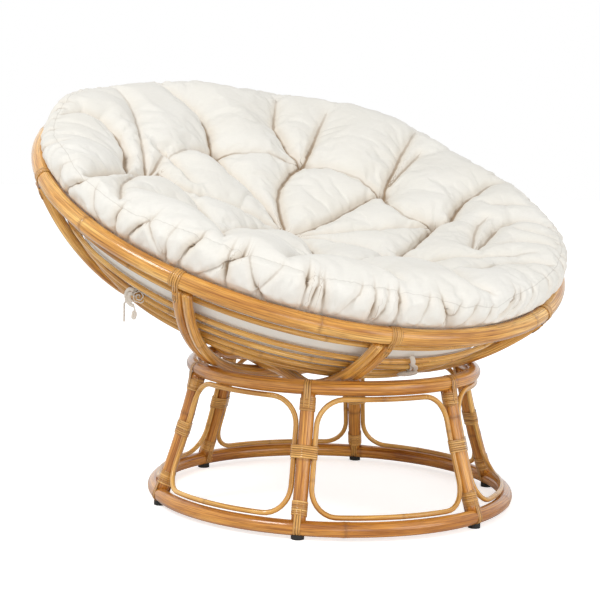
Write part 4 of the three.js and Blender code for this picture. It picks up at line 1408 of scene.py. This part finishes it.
def left_tie():
    """A rosette of wound tape, with a loop to its left and a narrow one below."""
    across, up, facing = (TO_BOWL.inverted().to_3x3() @ camera.matrix_world.to_3x3()).col
    bm = bmesh.new()
    loop_round_cane(bm, LEFT_TIE, RING_DEPTHS[3])
    loop_round_cane(bm, BOW_ANGLE, RING_DEPTHS[2])
    middle = knot_place(BOW_ANGLE, RING_DEPTHS[2]) + facing * BOW_OUT + across * BOW_RIGHT - up * BOW_DOWN

    def lay(x, y, lift):
        return middle + across * x + up * y + facing * (lift + 0.9 * min(x + 0.010, 0))

    rose = []
    for i in range(ROSE_STEPS + 1):
        t = i / ROSE_STEPS
        a = 2 * math.pi * ROSE_TURNS * t + 0.6
        r = (ROSE_IN + ROSE_GROWS * t**0.85) * (1 + 0.07 * math.sin(5 * a + 1))
        lift = 0.0025 - 0.004 * t + 0.0010 * math.sin(3 * a)
        rose.append(lay(ROSE_RIGHT + r * math.cos(a), r * math.sin(a), lift))
    tape(bm, rose, facing, 0.0032, 0.0012, bulk=0.12, edge=True)
    for half, path in LOOPS:
        tape(bm, [lay(x / 1000, y / 1000, -0.002) for x, y in path], facing, half, 0.0010, bulk=0.06)
    to_tail = [lay(-0.0235, -0.002, -0.003), lay(-0.0255, -0.009, -0.010), TO_BOWL.inverted() @ tail_top]
    tape(bm, to_tail, facing, 0.0017, 0.0012)
    dress(finish_bmesh("left_tie_bow", bm, TO_BOWL), TIE_COTTON, "bowl", "tie_cloth", "tie_left")


def right_tie():
    """A tape that comes out over a cane, runs down the outside and ends in a long twisted knot."""
    outward = knot_place(RIGHT_TIE, RING_DEPTHS[2]).normalized()
    bm = bmesh.new()
    loop_round_cane(bm, RIGHT_TIE, RING_DEPTHS[2])
    for shift, turn in ((-0.22, 0.25), (0.22, -0.2)):
        pts = [knot_place(math.radians(a + shift), depth, away) for a, depth, away in DOWN_STOPS]
        tape(bm, pts, outward, 0.0032, 0.0011, twist=turn)
    start, end = (knot_place(math.radians(a), depth, away) for a, depth, away in KNOT_ENDS)
    side = (end - start).normalized().cross(outward)
    for strand in (0.0, 2.1, 4.2):
        pts = []
        for i in range(KNOT_STEPS + 1):
            a, t = KNOT_WINDS * i + strand, i / KNOT_STEPS
            fat = KNOT_FAT * math.sin(math.pi * (0.12 + 0.76 * t))
            pts.append(start.lerp(end, t) + (side * math.cos(a) * 1.25 + outward * math.sin(a)) * fat)
        tape(bm, pts, outward + side * 0.4, 0.0024, 0.0017, bulk=0.25)
    dress(finish_bmesh("right_tie_knot", bm, TO_BOWL), TIE_COTTON, "bowl", "tie_cloth", "tie_right")


left_tie()
right_tie()
print("two ties tied")

# %% [markdown]
# ## Floor, backdrop and light
# The photograph is a cut-out on white. A pale floor takes the chair's shadow, and a white world
# stands behind it. The world also gives most of the light, soft from all sides. One high lamp
# brightens the top and the left, and two low ones in front light the poles under the bowl.

# %% Floor, world and lamps
WHITE = (1, 1, 1, 1)
FLOOR_TONE, FLOOR_GLOW, WORLD_LIGHT, FLOOR_R = 0.86, 0.62, 0.62, 14


def floor_material():
    mat, tree, shader = start_material("studio_floor")
    glow = maths(tree, "MULTIPLY", add(tree, "LightPath", "Is Camera Ray"), FLOOR_GLOW)
    set_inputs(tree, shader, in_Base_Color=(FLOOR_TONE, FLOOR_TONE, FLOOR_TONE, 1), in_Roughness=0.9,
               in_Emission_Color=WHITE, in_Emission_Strength=glow)
    return mat


def white_world():
    world = bpy.data.worlds.new("studio")
    world.use_nodes = True
    tree = world.node_tree
    seen, mirrored = (add(tree, "LightPath", ray) for ray in ("Is Camera Ray", "Is Glossy Ray"))
    level = add(tree, "MapRange", "Result", in_Value=maths(tree, "MAXIMUM", seen, mirrored),
                in_To_Min=WORLD_LIGHT, in_To_Max=1.0)
    set_inputs(tree, tree.nodes["Background"], in_Color=WHITE, in_Strength=level)
    return world


def lamp(name, place, target, size, power):
    data = bpy.data.lights.new(name, "AREA")
    data.shape = "DISK"
    data.size = size
    data.energy = power
    ob = bpy.data.objects.new(name, data)
    bpy.context.scene.collection.objects.link(ob)
    ob.location = place
    ob.rotation_euler = (Vector(target) - Vector(place)).to_track_quat("-Z", "Y").to_euler()


bm = bmesh.new()
bmesh.ops.create_circle(bm, cap_ends=True, radius=FLOOR_R, segments=64)
floor = new_object("studio_floor", bm, smooth=False)
floor.data.materials.append(floor_material())
bpy.context.scene.world = white_world()
lamp("key_lamp", (-2.6, -0.4, 3.0), (0, 0, 0.5), 1.3, 50)
lamp("fill_lamp", (0.9, -3.3, 1.0), (0, 0, 0.4), 2.2, 24)
lamp("front_lamp", (-1.5, -3.3, 0.5), (0, 0, 0.35), 1.6, 14)
